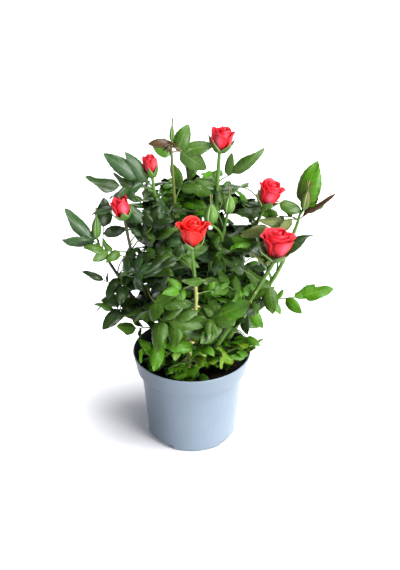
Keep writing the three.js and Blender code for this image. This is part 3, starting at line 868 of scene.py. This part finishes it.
for name, (cane, tint, end, width, sides) in SPRAYS.items():
    middle, along, facing, half_long = pad_of(name)
    ends = sorted((middle + along * half_long * s for s in (1, -1)),
                  key=lambda p: (nearest_on(cane_lines[cane], p)[0] - p).length)
    stem = nearest_on(cane_lines[cane], ends[0] - Vector((0, 0, 4 * MM)))[0]
    way = ends[1] - stem
    stalk = "red" if name in RED_STALKED else "green"
    grow_leaf(stem, Vector((0, 0, 1)) + way.normalized(), ends[1], way, facing, tint, random.Random(name),
              way.length * end, sides, width, EDGE_ON.get(name, 0.0), stalk)


# ---- Full masses ----------------------------------------------------------------------------
# Inside the crown side shoots leave the canes for the middle of each mass. Compound leaves grow
# from canes and shoots to chance spots at its skin and under it, clear of the blooms and buds.

FOLIAGE = [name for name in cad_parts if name.startswith(("mass_", "spray_"))]
HEADS = [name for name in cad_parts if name.startswith(("bloom_", "bud_"))]


class Solid:
    """A closed node that tells how deep a point lies in it."""

    def __init__(self, node):
        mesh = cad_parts[node].data
        corners = [v.co.copy() for v in mesh.vertices]
        sides = [tuple(p.vertices) for p in mesh.polygons]
        self.tree = BVHTree.FromPolygons(corners, sides)
        self.triangles = [[corners[i] for i in side[:3]] for side in sides]
        self.areas = [(b - a).cross(c - a).length for a, b, c in self.triangles]
        self.low, self.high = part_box(node)
        self.middle = (self.low + self.high) / 2

    def outside(self, place):
        """How far a point is outside the solid; less than nothing is inside."""
        spot, normal, _, gap = self.tree.find_nearest(place)
        return gap if (place - spot).dot(normal) > 0 else -gap

    def near(self, place, margin):
        """A quick test against the solid's box, before the slow one."""
        return all(l - margin < p < h + margin for l, p, h in zip(self.low, place, self.high))


solids = {name: Solid(name) for name in FOLIAGE + HEADS}
AXIS = Vector((0, 0, 1))


def is_clear(place):
    """True away from blooms, buds, the soil and the pot's wall."""
    if any(solids[n].near(place, 3 * MM) and solids[n].outside(place) < 1.5 * MM for n in HEADS):
        return False
    if place.z < SOIL_LEVEL + 2 * MM:
        return False
    return place.z > RIM_HEIGHT + 2 * MM or place.xy.length < SOIL_RADIUS - 2 * MM


# For each mass: its tints, how many shoots it has and how many leaves stand on it
MASSES = {
    "mass_low_front": (["young", "bright", "bright"], 2, 10),
    "mass_low_left": (["bright", "mid"], 2, 10),
    "mass_low_right": (["bright", "young", "bright"], 2, 11),
    "mass_left_body": (["mid", "dark"], 2, 12),
    "mass_left_centre": (["blue", "mid", "dark"], 2, 13),
    "mass_left_upper": (["blue", "mid", "dark"], 2, 13),
    "mass_crown_left": (["mid", "bright", "dark"], 2, 16),
    "mass_crown_right": (["mid", "dark", "bright"], 2, 18),
    "mass_core": (["mid", "dark", "bright", "mid"], 3, 19),
    "mass_centre": (["dark", "blue", "mid"], 3, 18),
    "mass_right_body": (["mid", "bright", "dark"], 2, 14),
    "mass_right_upper": (["mid", "bright", "dark"], 2, 14),
    "mass_back_left": (["mid", "dark", "blue"], 4, 26),
    "mass_back": (["mid", "dark"], 4, 28),
    "mass_back_right": (["mid", "dark", "bright"], 4, 26),
}
TRIES = 6  # for each leaf; a mass whose spots are too close or hard to reach gets fewer leaves


def spot_on(solid, chance):
    """A random spot on a solid's skin, each part of it as likely as its area."""
    a, b, c = chance.choices(solid.triangles, solid.areas)[0]
    p, q = chance.random(), chance.random()
    if p + q > 1:
        p, q = 1 - p, 1 - q
    return a + (b - a) * p + (c - a) * q, (b - a).cross(c - a).normalized()


shoot_lines = []
for name, (tints, shoots, leaves) in MASSES.items():
    chance = random.Random(name)
    solid = solids[name]
    low = name.startswith("mass_low")
    sizes = (12, 18) if low else (18, 29) if "left" in name else (19, 31)
    apart = (6 if low else 8) * MM
    thick = (0.7 if low else 1.2) * MM
    own = []
    for _ in range(shoots):
        skin, normal = spot_on(solid, chance)
        goal = solid.middle.lerp(skin, chance.uniform(0.3, 0.7))
        starts = [p for line in cane_lines.values() for p, _ in line
                  if p.z < goal.z - 0.6 * (goal - p).length]
        if not starts:
            continue
        start = min(starts, key=lambda p: (p - goal).length)
        path = bent(start, AXIS + (goal - start).normalized(), goal, 12)
        own.append([(p, thick * (1 - 0.45 * i / 12)) for i, p in enumerate(path)])
    shoot_lines += own
    nearby = [p for line in list(cane_lines.values()) + own for p, _ in line if solid.near(p, 25 * MM)]
    taken = []
    for _ in range(leaves * TRIES):
        if len(taken) == leaves:
            break
        tip, out = spot_on(solid, chance)
        if out.z < -0.5 and chance.random() < 0.6:
            continue
        tip = tip.lerp(solid.middle, 0.08 + chance.random() ** 2 * 0.6)
        if any((tip - other).length < apart for other in taken):
            continue
        length = chance.uniform(*sizes) * MM
        sideways = AXIS.cross(out) if abs(out.z) < 0.9 else Vector((1, 0, 0))
        # leaves point outwards on the crown's flanks, and lie across its front and back
        flank = abs(out.x)
        lay = sideways.normalized() * chance.choice((-1, 1)) * (1 - 0.65 * flank)
        lay += out * (0.1 + 0.9 * flank) * chance.uniform(0.5, 1.1) + AXIS * chance.uniform(-0.35, 0.5)
        lay.normalize()
        foot = tip - lay * length
        wanted = foot - lay * 0.6 * length - out * 0.7 * length - AXIS * 0.5 * length
        base = min(nearby, key=lambda p: (p - wanted).length)
        span = (foot - base).length
        if not (0.3 if low else 0.45) * length < span < 2.6 * length:
            continue
        radial = Vector((tip.x, tip.y - 10 * MM, 0)).normalized()
        normal = out * 0.35 + AXIS * chance.uniform(0.55, 1.0) + radial * chance.uniform(0.2, 0.5)
        if not (is_clear(tip) and is_clear(foot)):
            continue
        taken.append(tip)
        sides = paired(chance.choice([1, 2, 2]), chance.uniform(0.8, 0.95), 58, chance)
        grow_leaf(base, AXIS + out * 0.5, tip, lay, normal, chance.choice(tints), chance, length, sides,
                  width=chance.uniform(0.85, 1.15))

# The young cane in front stands clear of the masses, and has a few leaves of its own: the share
# of the cane below the joint, the way the leaf turns in degrees and its tint
FRONT_LEAVES = [(0.2, 250, "mid"), (0.27, 300, "bright"), (0.36, 200, "bright"), (0.46, 330, "mid"),
                (0.56, 170, "mid"), (0.64, 15, "bright"), (0.71, 215, "bright")]


def way_out(turn, rise):
    """The direction at this turn round the Z axis, in degrees, that climbs by rise."""
    return Vector((math.cos(math.radians(turn)), math.sin(math.radians(turn)), rise))


chance = random.Random("front leaves")
line = cane_lines["cane_front"]
for share, turn, tint in FRONT_LEAVES:
    base = line[round(share * (len(line) - 1))][0]
    out = way_out(turn, chance.uniform(0.1, 0.5))
    length = chance.uniform(15, 20) * MM
    tip = base + out.normalized() * length * 2
    sides = paired(1, 0.8, 60, chance)
    grow_leaf(base, AXIS + out, tip, out, Vector((0, -0.6, 0.8)), tint, chance, length, sides)

# Single leaves that stand out: the cane, the joint's height, the tip, the way and tint of the end
# leaflet and its length, in millimetres
STANDING_OUT = [
    ("cane_upper_right", 205, (38, -5, 226), (-1, -0.2, 0.15), "dark", 16),
    ("cane_upper_right", 208, (94, -3, 225), (1, -0.1, -0.3), "mid", 21),
    ("cane_front", 176, (-8, -57, 189), (-1, -0.1, 0.1), "mid", 18),
    ("cane_right", 180, (52, -40, 205), (-0.7, -0.3, 0.5), "olive", 17),
]
chance = random.Random("standing out")
for cane, height, tip, way, tint, length in STANDING_OUT:
    base = min((p for p, _ in cane_lines[cane]), key=lambda p: abs(p.z - height * MM))
    grow_leaf(base, Vector((0.3, -0.5, 1)), Vector(tip) * MM, Vector(way), Vector((0.1, -0.5, 0.85)), tint,
              chance, length * MM, [(0.7, 60, 0.6)])

# A pale young leaf hangs folded in front of its foot: each leaflet's place from the joint, its way
# and its length, in millimetres
PALE_LEAFLETS = [((-9, -6, 10), (-0.25, -0.35, -1), 17), ((7, -5, 6), (0.5, -0.5, -0.5), 12),
                 ((3, -7, 12), (0.3, -0.5, 0.6), 11)]
chance = random.Random("pale leaf")
base = line[round(0.2 * (len(line) - 1))][0]
for place, way, length in PALE_LEAFLETS:
    foot = base + Vector(place) * MM
    add_leaflet("young", foot, Vector(way), Vector((0.1, -0.9, 0.5)), length * MM, chance, 1.3)

# Red-brown bracts round the young spire at the top: their turn, rise and length in millimetres
BRACTS = [(20, 0.5, 11), (110, 0.2, 7), (165, 0.6, 9), (215, -0.2, 8), (290, 0.35, 9), (335, -0.35, 10)]
chance = random.Random("bracts")
base = cane_lines["cane_bud_top"][-1][0]
for turn, rise, length in BRACTS:
    out = way_out(turn, rise)
    start = base - AXIS * chance.uniform(0, 4) * MM
    add_leaflet("bronze", start, out, AXIS + out * -rise, length * MM, chance, 0.65)

leaf_tree = scatter_tree("rose_leaflets", materials=2)
foliage_nodes = {"mid": [n for n in FOLIAGE if not n.startswith("mass_low")],
                 "young": [n for n in FOLIAGE if n.startswith("mass_low")]}
for tint, spots in leaf_spots.items():
    piece = scattered(f"leaves_{tint}", spots, leaf_tree, LEAF_SHAPES, Upper_Material=leaf_looks[tint],
                      Under_Material=leaf_under["young" if tint == "young" else "old"])
    keep(piece, "young_leaf" if tint in ("young", "bright") else "leaf", *foliage_nodes.get(tint, []))

# leaf stalks: smooth and a little glossy, red where the leaf is new
for name, dark, light in (("green", "#35591a", "#587528"), ("red", "#58301c", "#715727")):
    skin = new_material(f"{name}_leaf_stalk", Roughness=0.45, IOR=1.45)
    coloured(skin, dark, (clouds(skin, 6), light))
    keep(limbs(f"stalks_{name}", stalk_lines[name], limb_skin, skin, 5, 0.0), "leaf")
keep(limbs("side_shoots", shoot_lines, limb_skin, bark["green"], 7, 0.1 * MM), "cane_bark")


# ---- Blooms ---------------------------------------------------------------------------------
# Each bloom is a spiral of thin velvety petals round a furled heart, the outer ones rolling back
# at the lip, held in a green cup with five sepals. They differ in how far they have opened.

TURN_OF_PETALS = math.radians(137.5)
PETAL_ROWS = 12
PETAL_COLUMNS = 10


def petal_material(name, deep, bright, pale, most):
    """Velvety petal: fine streaks up the blade, and a pale pink painted highlight down its middle, strongest
    on its lower half.
    """
    petal = new_material(name, Roughness=0.5, IOR=1.4, Sheen_Weight=0.1, Sheen_Roughness=0.4,
                         Sheen_Tint=colour("#db8797"))
    tree = petal.node_tree
    place = add_node(tree, "ShaderNodeUVMap", {"uv_map": "blade"}).outputs[0]
    blade = add_node(tree, "ShaderNodeSeparateXYZ", Vector=place)
    centre = add_node(tree, "ShaderNodeMath", {"operation": "PINGPONG"}, i0=blade.outputs["X"], i1=0.5)
    smooth = {"interpolation_type": "SMOOTHSTEP"}
    sides = add_node(tree, "ShaderNodeMapRange", smooth, Value=centre.outputs[0],
                     From_Min=0.12, From_Max=0.5, To_Min=0.0, To_Max=most).outputs[0]
    low = add_node(tree, "ShaderNodeMapRange", smooth, Value=blade.outputs["Y"],
                   From_Min=0.55, From_Max=0.95, To_Min=1.0, To_Max=0.25).outputs[0]
    # painted highlight: pale pink down the middle of each petal, fading towards its lip
    painted_highlight = add_node(tree, "ShaderNodeMath", {"operation": "MULTIPLY"}, i0=sides, i1=low)
    veins = add_node(tree, "ShaderNodeMapping", Vector=place, Scale=(26, 2, 1)).outputs[0]
    streaks = add_node(tree, "ShaderNodeTexNoise", Vector=veins, Scale=1.0, Detail=2.0).outputs["Fac"]
    coloured(petal, deep, (streaks, bright), (painted_highlight.outputs[0], pale), relief=(streaks, 0.12, 0.5))
    return petal


# each red: its deep red, its bright streaks, its painted highlight's pink and that highlight's greatest share
velvet = {"crimson": petal_material("crimson_rose_petal", "#c00a18", "#e81c2c", "#f06078", 0.85),
          "scarlet": petal_material("scarlet_rose_petal", "#c40a08", "#ec1f14", "#f0504a", 0.6)}

# sepal: a dull green blade with a downy pale margin and a browned tip
sepal_green = new_material("rose_sepal", Roughness=0.5, IOR=1.45)
tree = sepal_green.node_tree
place = add_node(tree, "ShaderNodeUVMap", {"uv_map": "blade"}).outputs[0]
blade = add_node(tree, "ShaderNodeSeparateXYZ", Vector=place)
centre = add_node(tree, "ShaderNodeMath", {"operation": "PINGPONG"}, i0=blade.outputs["X"], i1=0.5)
margin = add_node(tree, "ShaderNodeMapRange", Value=centre.outputs[0],
                  From_Min=0.02, From_Max=0.13, To_Min=0.65, To_Max=0.0)
tips = add_node(tree, "ShaderNodeMapRange", Value=blade.outputs["Y"],
                From_Min=0.55, From_Max=1.0, To_Min=0.0, To_Max=0.8)
coloured(sepal_green, "#365f18", (clouds(sepal_green, 4), "#5c842e"), (tips.outputs[0], "#5f4026"),
         (margin.outputs[0], "#9fab7e"))


class Sheets:
    """Curved sheets gathered into one mesh, each a grid of points with its place on the blade."""

    def __init__(self):
        self.points, self.faces, self.places, self.looks = [], [], [], []

    def add(self, shape, rows, columns, look=0):
        """shape(across, up) gives a point; across runs -1 to 1 and up 0 to 1."""
        first = len(self.points)
        for i in range(rows + 1):
            for j in range(columns + 1):
                across, up = 2 * j / columns - 1, i / rows
                self.points.append(shape(across, up))
                self.places.append((0.5 + 0.5 * across, up))
        for i in range(rows):
            for j in range(columns):
                a = first + i * (columns + 1) + j
                self.faces.append((a, a + 1, a + columns + 2, a + columns + 1))
                self.looks.append(look)

    def piece(self, name, materials, thickness):
        """The sheets as one piece with a wall, each face in its look's material."""
        piece = mesh_piece(name, self.points, self.faces, materials[0])
        for extra in materials[1:]:
            piece.data.materials.append(extra)
        piece.data.polygons.foreach_set("material_index", self.looks)
        blade = piece.data.uv_layers.new(name="blade")
        blade.data.foreach_set("uv", [c for loop in piece.data.loops for c in self.places[loop.vertex_index]])
        wall = piece.modifiers.new("sheet_thickness", "SOLIDIFY")
        wall.thickness = thickness
        wall.offset = 0.0
        return piece


class Head:
    """A bloom's or bud's own frame, from its solid: foot, axis, height and widest radius. The axis
    keeps only the upright share of the solid's lean in Y."""

    def __init__(self, node, foot, upright=1.0):
        corners = [v.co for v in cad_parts[node].data.vertices]
        low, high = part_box(node)
        self.foot = foot
        lean = (low + high) / 2 - foot
        self.axis = Vector((lean.x, upright * lean.y, lean.z)).normalized()
        self.height = max((c - foot).dot(self.axis) for c in corners)
        self.radius = max((c - foot - self.axis * (c - foot).dot(self.axis)).length for c in corners)
        self.side = Vector((1, 0, 0)) - self.axis * self.axis.x
        self.side.normalize()
        self.front = self.axis.cross(self.side)

    def at(self, radius, angle, height):
        """A point by its distance from the axis, its direction and its height over the foot."""
        out = self.side * math.cos(angle) + self.front * math.sin(angle)
        return self.foot + self.axis * height + out * radius


def add_petal(sheets, head, angle, layer, opening, flare, chance):
    """layer runs from 0 at the heart to 1 outside; opening from 0, furled, to 1, rolled back.
    flare, from 0 to 1, draws the waist in and the lip out to a point."""
    flare *= layer
    R, H = head.radius, head.height
    lip_radius = R * (0.13 + (0.58 + 0.16 * opening) * layer) * chance.uniform(0.94, 1.04)
    belly = max(lip_radius * (1.15 - 0.45 * opening - 0.3 * flare), 0.1 * R)
    half_turn = math.radians(130 - 82 * layer)
    top = H * (1.0 - (0.02 + 0.16 * opening) * layer) * chance.uniform(0.95, 1.02)
    curl = (0.04 + 0.14 * opening) * layer * R * chance.uniform(0.7, 1.3)
    wave, lean = chance.uniform(0, 6), chance.uniform(-0.1, 0.1)
    low, foot_radius, waist = 0.12 * H, 0.2 * R * layer, 0.5 - 0.28 * flare

    def shape(across, up):
        edge = abs(across)
        height = up * (1 - 0.22 * edge**2.2 * (0.3 + 0.7 * layer) + (0.07 + 0.06 * flare) * (1 - edge) ** 2)
        height += 0.02 * math.sin(4 * across + wave) * up
        rounding = math.sin(min(1.0, height * (1.8 - 0.6 * opening)) * math.pi / 2)
        settle = max(0.0, (height - waist) / (1 - waist))
        radius = foot_radius + (belly - foot_radius) * rounding
        radius += (lip_radius - belly) * settle ** (1.5 - 0.4 * flare)
        lip = max(0.0, height - 0.72) / 0.28
        radius += curl * lip**1.6 * (0.5 + 0.5 * edge) + 0.06 * R * flare * (1 - edge) * lip
        radius += across * 0.09 * R * (1.1 - 0.5 * layer) + 0.08 * R * layer * edge**4 * height * opening
        rise = low + (top - low) * height - curl * 0.9 * lip**3
        narrow = 0.5 + 0.5 * min(1.0, height * 1.6) ** 0.8
        return head.at(max(radius, 0.02 * R), angle + lean * height + across * half_turn * narrow, rise)

    sheets.add(shape, PETAL_ROWS, PETAL_COLUMNS)


def add_sepal(sheets, head, angle, length, broad, hug, back):
    """A sepal that follows the head's swell (hug, a share of its radius) and bends back at its tip."""
    R, H = head.radius, head.height

    def shape(across, up):
        oval = math.sin(math.pi * min(1.0, 0.18 + up * 0.95)) ** 0.8
        half = broad * R * (oval * (1 - up) + 0.05 * (1 - up))
        height = 0.1 * H + length * H * up * (1 - 0.35 * back * up)
        swell = math.sin(min(1.0, 0.12 + height / H * 1.45) * math.pi / 2)
        radius = R * (0.16 + (hug - 0.16) * swell) + 0.6 * MM + back * R * 0.9 * up**2
        radius -= 0.12 * half * abs(across)
        return head.at(radius, angle + across * half / max(radius, 0.3 * MM), height)

    sheets.add(shape, 8, 4)


def add_cup(name, head, wide, tall, material):
    """The green cup that carries petals and sepals, turned round the head's axis, with its stalk."""
    turns = 16
    profile = [(1.2 * MM / wide, -0.02), (1.25 * MM / wide, 0.1), (0.62, 0.35), (0.98, 0.62),
               (1.0, 0.85), (0.75, 1.0)]
    points = [head.at(0, 0, -0.02 * tall)]
    for share, up in profile:
        points += [head.at(share * wide, math.tau * i / turns, up * tall) for i in range(turns)]
    points.append(head.at(0, 0, 1.05 * tall))
    last = len(points) - 1
    faces = ring_faces(turns, len(profile) - 1, first=1)
    for i in range(turns):
        j = (i + 1) % turns
        faces += [(0, 1 + j, 1 + i), (last - turns + i, last - turns + j, last)]
    return mesh_piece(name, points, faces, material)


# the cup's skin: smooth and fresh green, with a soft gloss
cup_green = new_material("rose_cup_green", Roughness=0.45, IOR=1.45)
coloured(cup_green, "#406c1b", (clouds(cup_green, 3), "#699034"))

# Each bloom: its cane, its red, how open and how flared it is, its petals in whorls from the heart
# outwards, its sepals' length, breadth and bend back, and how wide and tall it is in its solid
BLOOMS = {
    "bloom_top": ("cane_top", "crimson", 0.25, 0.2, (2, 3, 4), 0.62, 0.5, 0.25, 0.98, 1.02),
    "bloom_upper_left": ("cane_upper_left", "crimson", 0.12, 0.1, (2, 2, 4), 0.66, 0.55, 0.05, 0.95, 1.0),
    "bloom_left": ("cane_left", "crimson", 0.18, 0.2, (2, 2, 4), 0.66, 0.55, 0.05, 1.0, 1.0),
    "bloom_centre": ("cane_front", "scarlet", 0.25, 0.9, (2, 2, 3, 4), 0.36, 0.40, 0.05, 0.8, 0.95),
    "bloom_upper_right": ("cane_upper_right", "crimson", 0.2, 0.8, (2, 3, 4), 0.5, 0.45, 0.1, 0.94, 1.02),
    "bloom_right": ("cane_right", "crimson", 0.35, 0.8, (2, 3, 4, 4), 0.5, 0.40, 0.3, 0.85, 1.1),
}
for name, (cane, red, opening, flare, whorls, length, broad, back, wide, tall) in BLOOMS.items():
    chance = random.Random(name)
    head = Head(name, cane_lines[cane][-1][0], upright=-0.1)
    head.radius *= wide
    head.height *= tall
    sheets = Sheets()
    begin = chance.uniform(0, math.tau)
    for row, count in enumerate(whorls):
        layer = (row / (len(whorls) - 1)) ** 0.85
        for i in range(count):
            angle = begin + TURN_OF_PETALS * row + math.tau * i / count + chance.uniform(-0.2, 0.2)
            open_now = opening * (0.2 + 0.8 * layer) * chance.uniform(0.8, 1.2)
            add_petal(sheets, head, angle, layer, open_now, flare, chance)
    keep(sheets.piece(f"{name}_petals", [velvet[red]], 0.35 * MM), "petal", name)
    sheets = Sheets()
    for i in range(5):
        angle = begin + math.tau * i / 5 + chance.uniform(-0.15, 0.15)
        add_sepal(sheets, head, angle, length * chance.uniform(0.85, 1.1), broad, 0.92 - 0.2 * flare, back)
    keep(sheets.piece(f"{name}_sepals", [sepal_green], 0.4 * MM), "bud_green")
    wide, tall = 0.3 * head.radius + 1.2 * MM, 0.22 * head.height
    keep(add_cup(f"{name}_cup", head, wide, tall, cup_green), "bud_green")


# ---- Buds -----------------------------------------------------------------------------------
# A closed bud is five sepals folded over the petals into a pointed egg on a green cup, with
# their long tips drawn out above. The young one at the top is a slim spire with red bracts.

# sepal that has caught the sun: dull green at its foot, turning red-brown to the tip
bud_red = new_material("red_brown_sepal", Roughness=0.5, IOR=1.45)
place = add_node(bud_red.node_tree, "ShaderNodeUVMap", {"uv_map": "blade"}).outputs[0]
up_the_blade = add_node(bud_red.node_tree, "ShaderNodeSeparateXYZ", Vector=place).outputs["Y"]
coloured(bud_red, "#506924", (up_the_blade, "#69251d"))

# Each bud: its cane, its fatness, how far its tips part, and which of its five sepals are red
BUDS = {
    "bud_top": ("cane_bud_top", 0.5, 0.05, ()),
    "bud_left": ("cane_far_left", 0.9, 0.02, (2,)),
    "bud_middle": ("cane_centre", 1.1, 0.05, ()),
    "bud_middle_right": ("cane_centre", 0.95, 0.08, ()),
    "bud_right": ("cane_far_right", 0.8, 0.3, (0, 2, 4)),
}
for name, (cane, fat, part, red) in BUDS.items():
    chance = random.Random(name)
    tip_of_cane = cane_lines[cane][-1][0]
    corners = sorted((v.co.copy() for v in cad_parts[name].data.vertices), key=lambda c: c.z)
    foot = sum(corners[:12], Vector()) / 12
    head = Head(name, foot)
    if (foot - tip_of_cane).length > 2 * MM:
        joint = min(foot.z, tip_of_cane.z) - 18 * MM
        below = [p for p, _ in cane_lines[cane] if p.z < joint] or [tip_of_cane]
        start = below[-1] if foot.z < tip_of_cane.z + 4 * MM else tip_of_cane
        stalk = [(p, 1.15 * MM) for p in bent(start, AXIS, foot + head.axis * 0.5 * MM, 10)]
        keep(limbs(f"{name}_stalk", [stalk], limb_skin, bark["green"], 8, 0.0), "cane_bark")
    sheets = Sheets()
    R, H = head.radius * fat, head.height

    def swell(up):
        """How far out the closed bud's skin stands, as a share of its radius: an egg and its beak."""
        egg = max(0.0, math.sin(math.pi * min(1.0, (up / 0.64)) ** 0.85)) ** 0.7
        return max(egg, 0.16 * (1.05 - up))

    for i in range(5):
        angle = math.tau * i / 5 + chance.uniform(-0.1, 0.1)
        reach = chance.uniform(0.9, 1.0)

        def sepal(across, up, angle=angle, reach=reach):
            height = 0.08 + 0.92 * up * reach
            # each sepal's one margin lies over its neighbour's other one
            radius = R * swell(height) * (1 + 0.06 * (1 - abs(across))) + (0.3 + 0.28 * across) * MM
            out = part * R * max(0.0, up - 0.6) ** 2 * 12
            half = math.radians(44) * (1 if up < 0.55 else max(0.12, 1 - (up - 0.55) / 0.45))
            return head.at(radius + out, angle + across * half + 0.6 * max(0.0, up - 0.5), H * height)

        sheets.add(sepal, 12, 4, 1 if i in red else 0)
    keep(sheets.piece(f"{name}_sepals", [sepal_green, bud_red], 0.35 * MM), "bud_green", name)
    keep(add_cup(f"{name}_cup", head, 0.55 * R, 0.2 * H, cup_green), "bud_green")


# ---- Studio ---------------------------------------------------------------------------------
# A white table in a white room. A high window on the right throws the soft shadow to the left, a
# bright wall low at the right front lights the pot's right side, and a far wall rims the crown.

CAMERA_DISTANCE = 1.4
CAMERA_ELEVATION = math.radians(30.5)
CAMERA_LENS_MM = 101.5
middle = (cad_box[0] + cad_box[1]) / 2
aim = Vector((middle.x - 0.5 * MM, 0, middle.z - 3.5 * MM))
camera = in_scene("camera", bpy.data.cameras.new("camera"))
camera.data.lens = CAMERA_LENS_MM
camera.data.sensor_width = 36
sight = Vector((0, -math.cos(CAMERA_ELEVATION), math.sin(CAMERA_ELEVATION)))
camera.location = aim + CAMERA_DISTANCE * sight
camera.rotation_euler = sight.to_track_quat("Z", "Y").to_euler()
bpy.context.scene.camera = camera

# white laminate: matt, with a trace of its own light, so that it stays white away from the pot
table_white = new_material("white_laminate", Base_Color=colour("#fbfbfd"), Roughness=0.7,
                           Specular_IOR_Level=0.1, Emission_Color=colour("#f4f5ff"), Emission_Strength=0.03)
TABLE_REACH = 8
corners = [(x * TABLE_REACH, y * TABLE_REACH, 0) for x, y in ((-1, -1), (1, -1), (1, 1), (-1, 1))]
table = mesh_piece("table", corners, [(0, 1, 2, 3)], table_white)
table.visible_diffuse = False  # its glare stays off the pot, which the room's own floor light fills


def wide_light(name, towards, strength, spread):
    """Even light from one direction, as soft as its spread in degrees is wide."""
    lamp = in_scene(name, bpy.data.lights.new(name, "SUN"))
    lamp.data.energy = strength
    lamp.data.angle = math.radians(spread)
    lamp.rotation_euler = Vector(towards).to_track_quat("Z", "Y").to_euler()


wide_light("window", (0.42, -0.04, 1.0), 6.6, 50)
wide_light("bright_wall", (0.69, -0.72, 0.12), 5.9, 30)
wide_light("far_wall", (-0.1, 0.95, 0.25), 0.9, 40)

# the room: a white strip of wall at the table's level, a dim ceiling, and a soft return from below
world = bpy.data.worlds.new("white_room")
world.use_nodes = True
room = world.node_tree.nodes["Background"]
room.inputs["Color"].default_value = colour("#eef2ff")
way = add_node(world.node_tree, "ShaderNodeTexCoord").outputs["Generated"]
level = add_node(world.node_tree, "ShaderNodeSeparateXYZ", Vector=way).outputs["Z"]
upper = add_node(world.node_tree, "ShaderNodeMapRange", Value=level,
                 From_Min=0.15, From_Max=0.2, To_Min=1.4, To_Max=0.12)
lower = add_node(world.node_tree, "ShaderNodeMapRange", Value=level,
                 From_Min=-0.12, From_Max=-0.06, To_Min=0.33, To_Max=1.4)
glow = add_node(world.node_tree, "ShaderNodeMath", {"operation": "MINIMUM"},
                i0=upper.outputs[0], i1=lower.outputs[0])
world.node_tree.links.new(glow.outputs[0], room.inputs["Strength"])
bpy.context.scene.world = world
bpy.context.scene.view_settings.view_transform = "Standard"
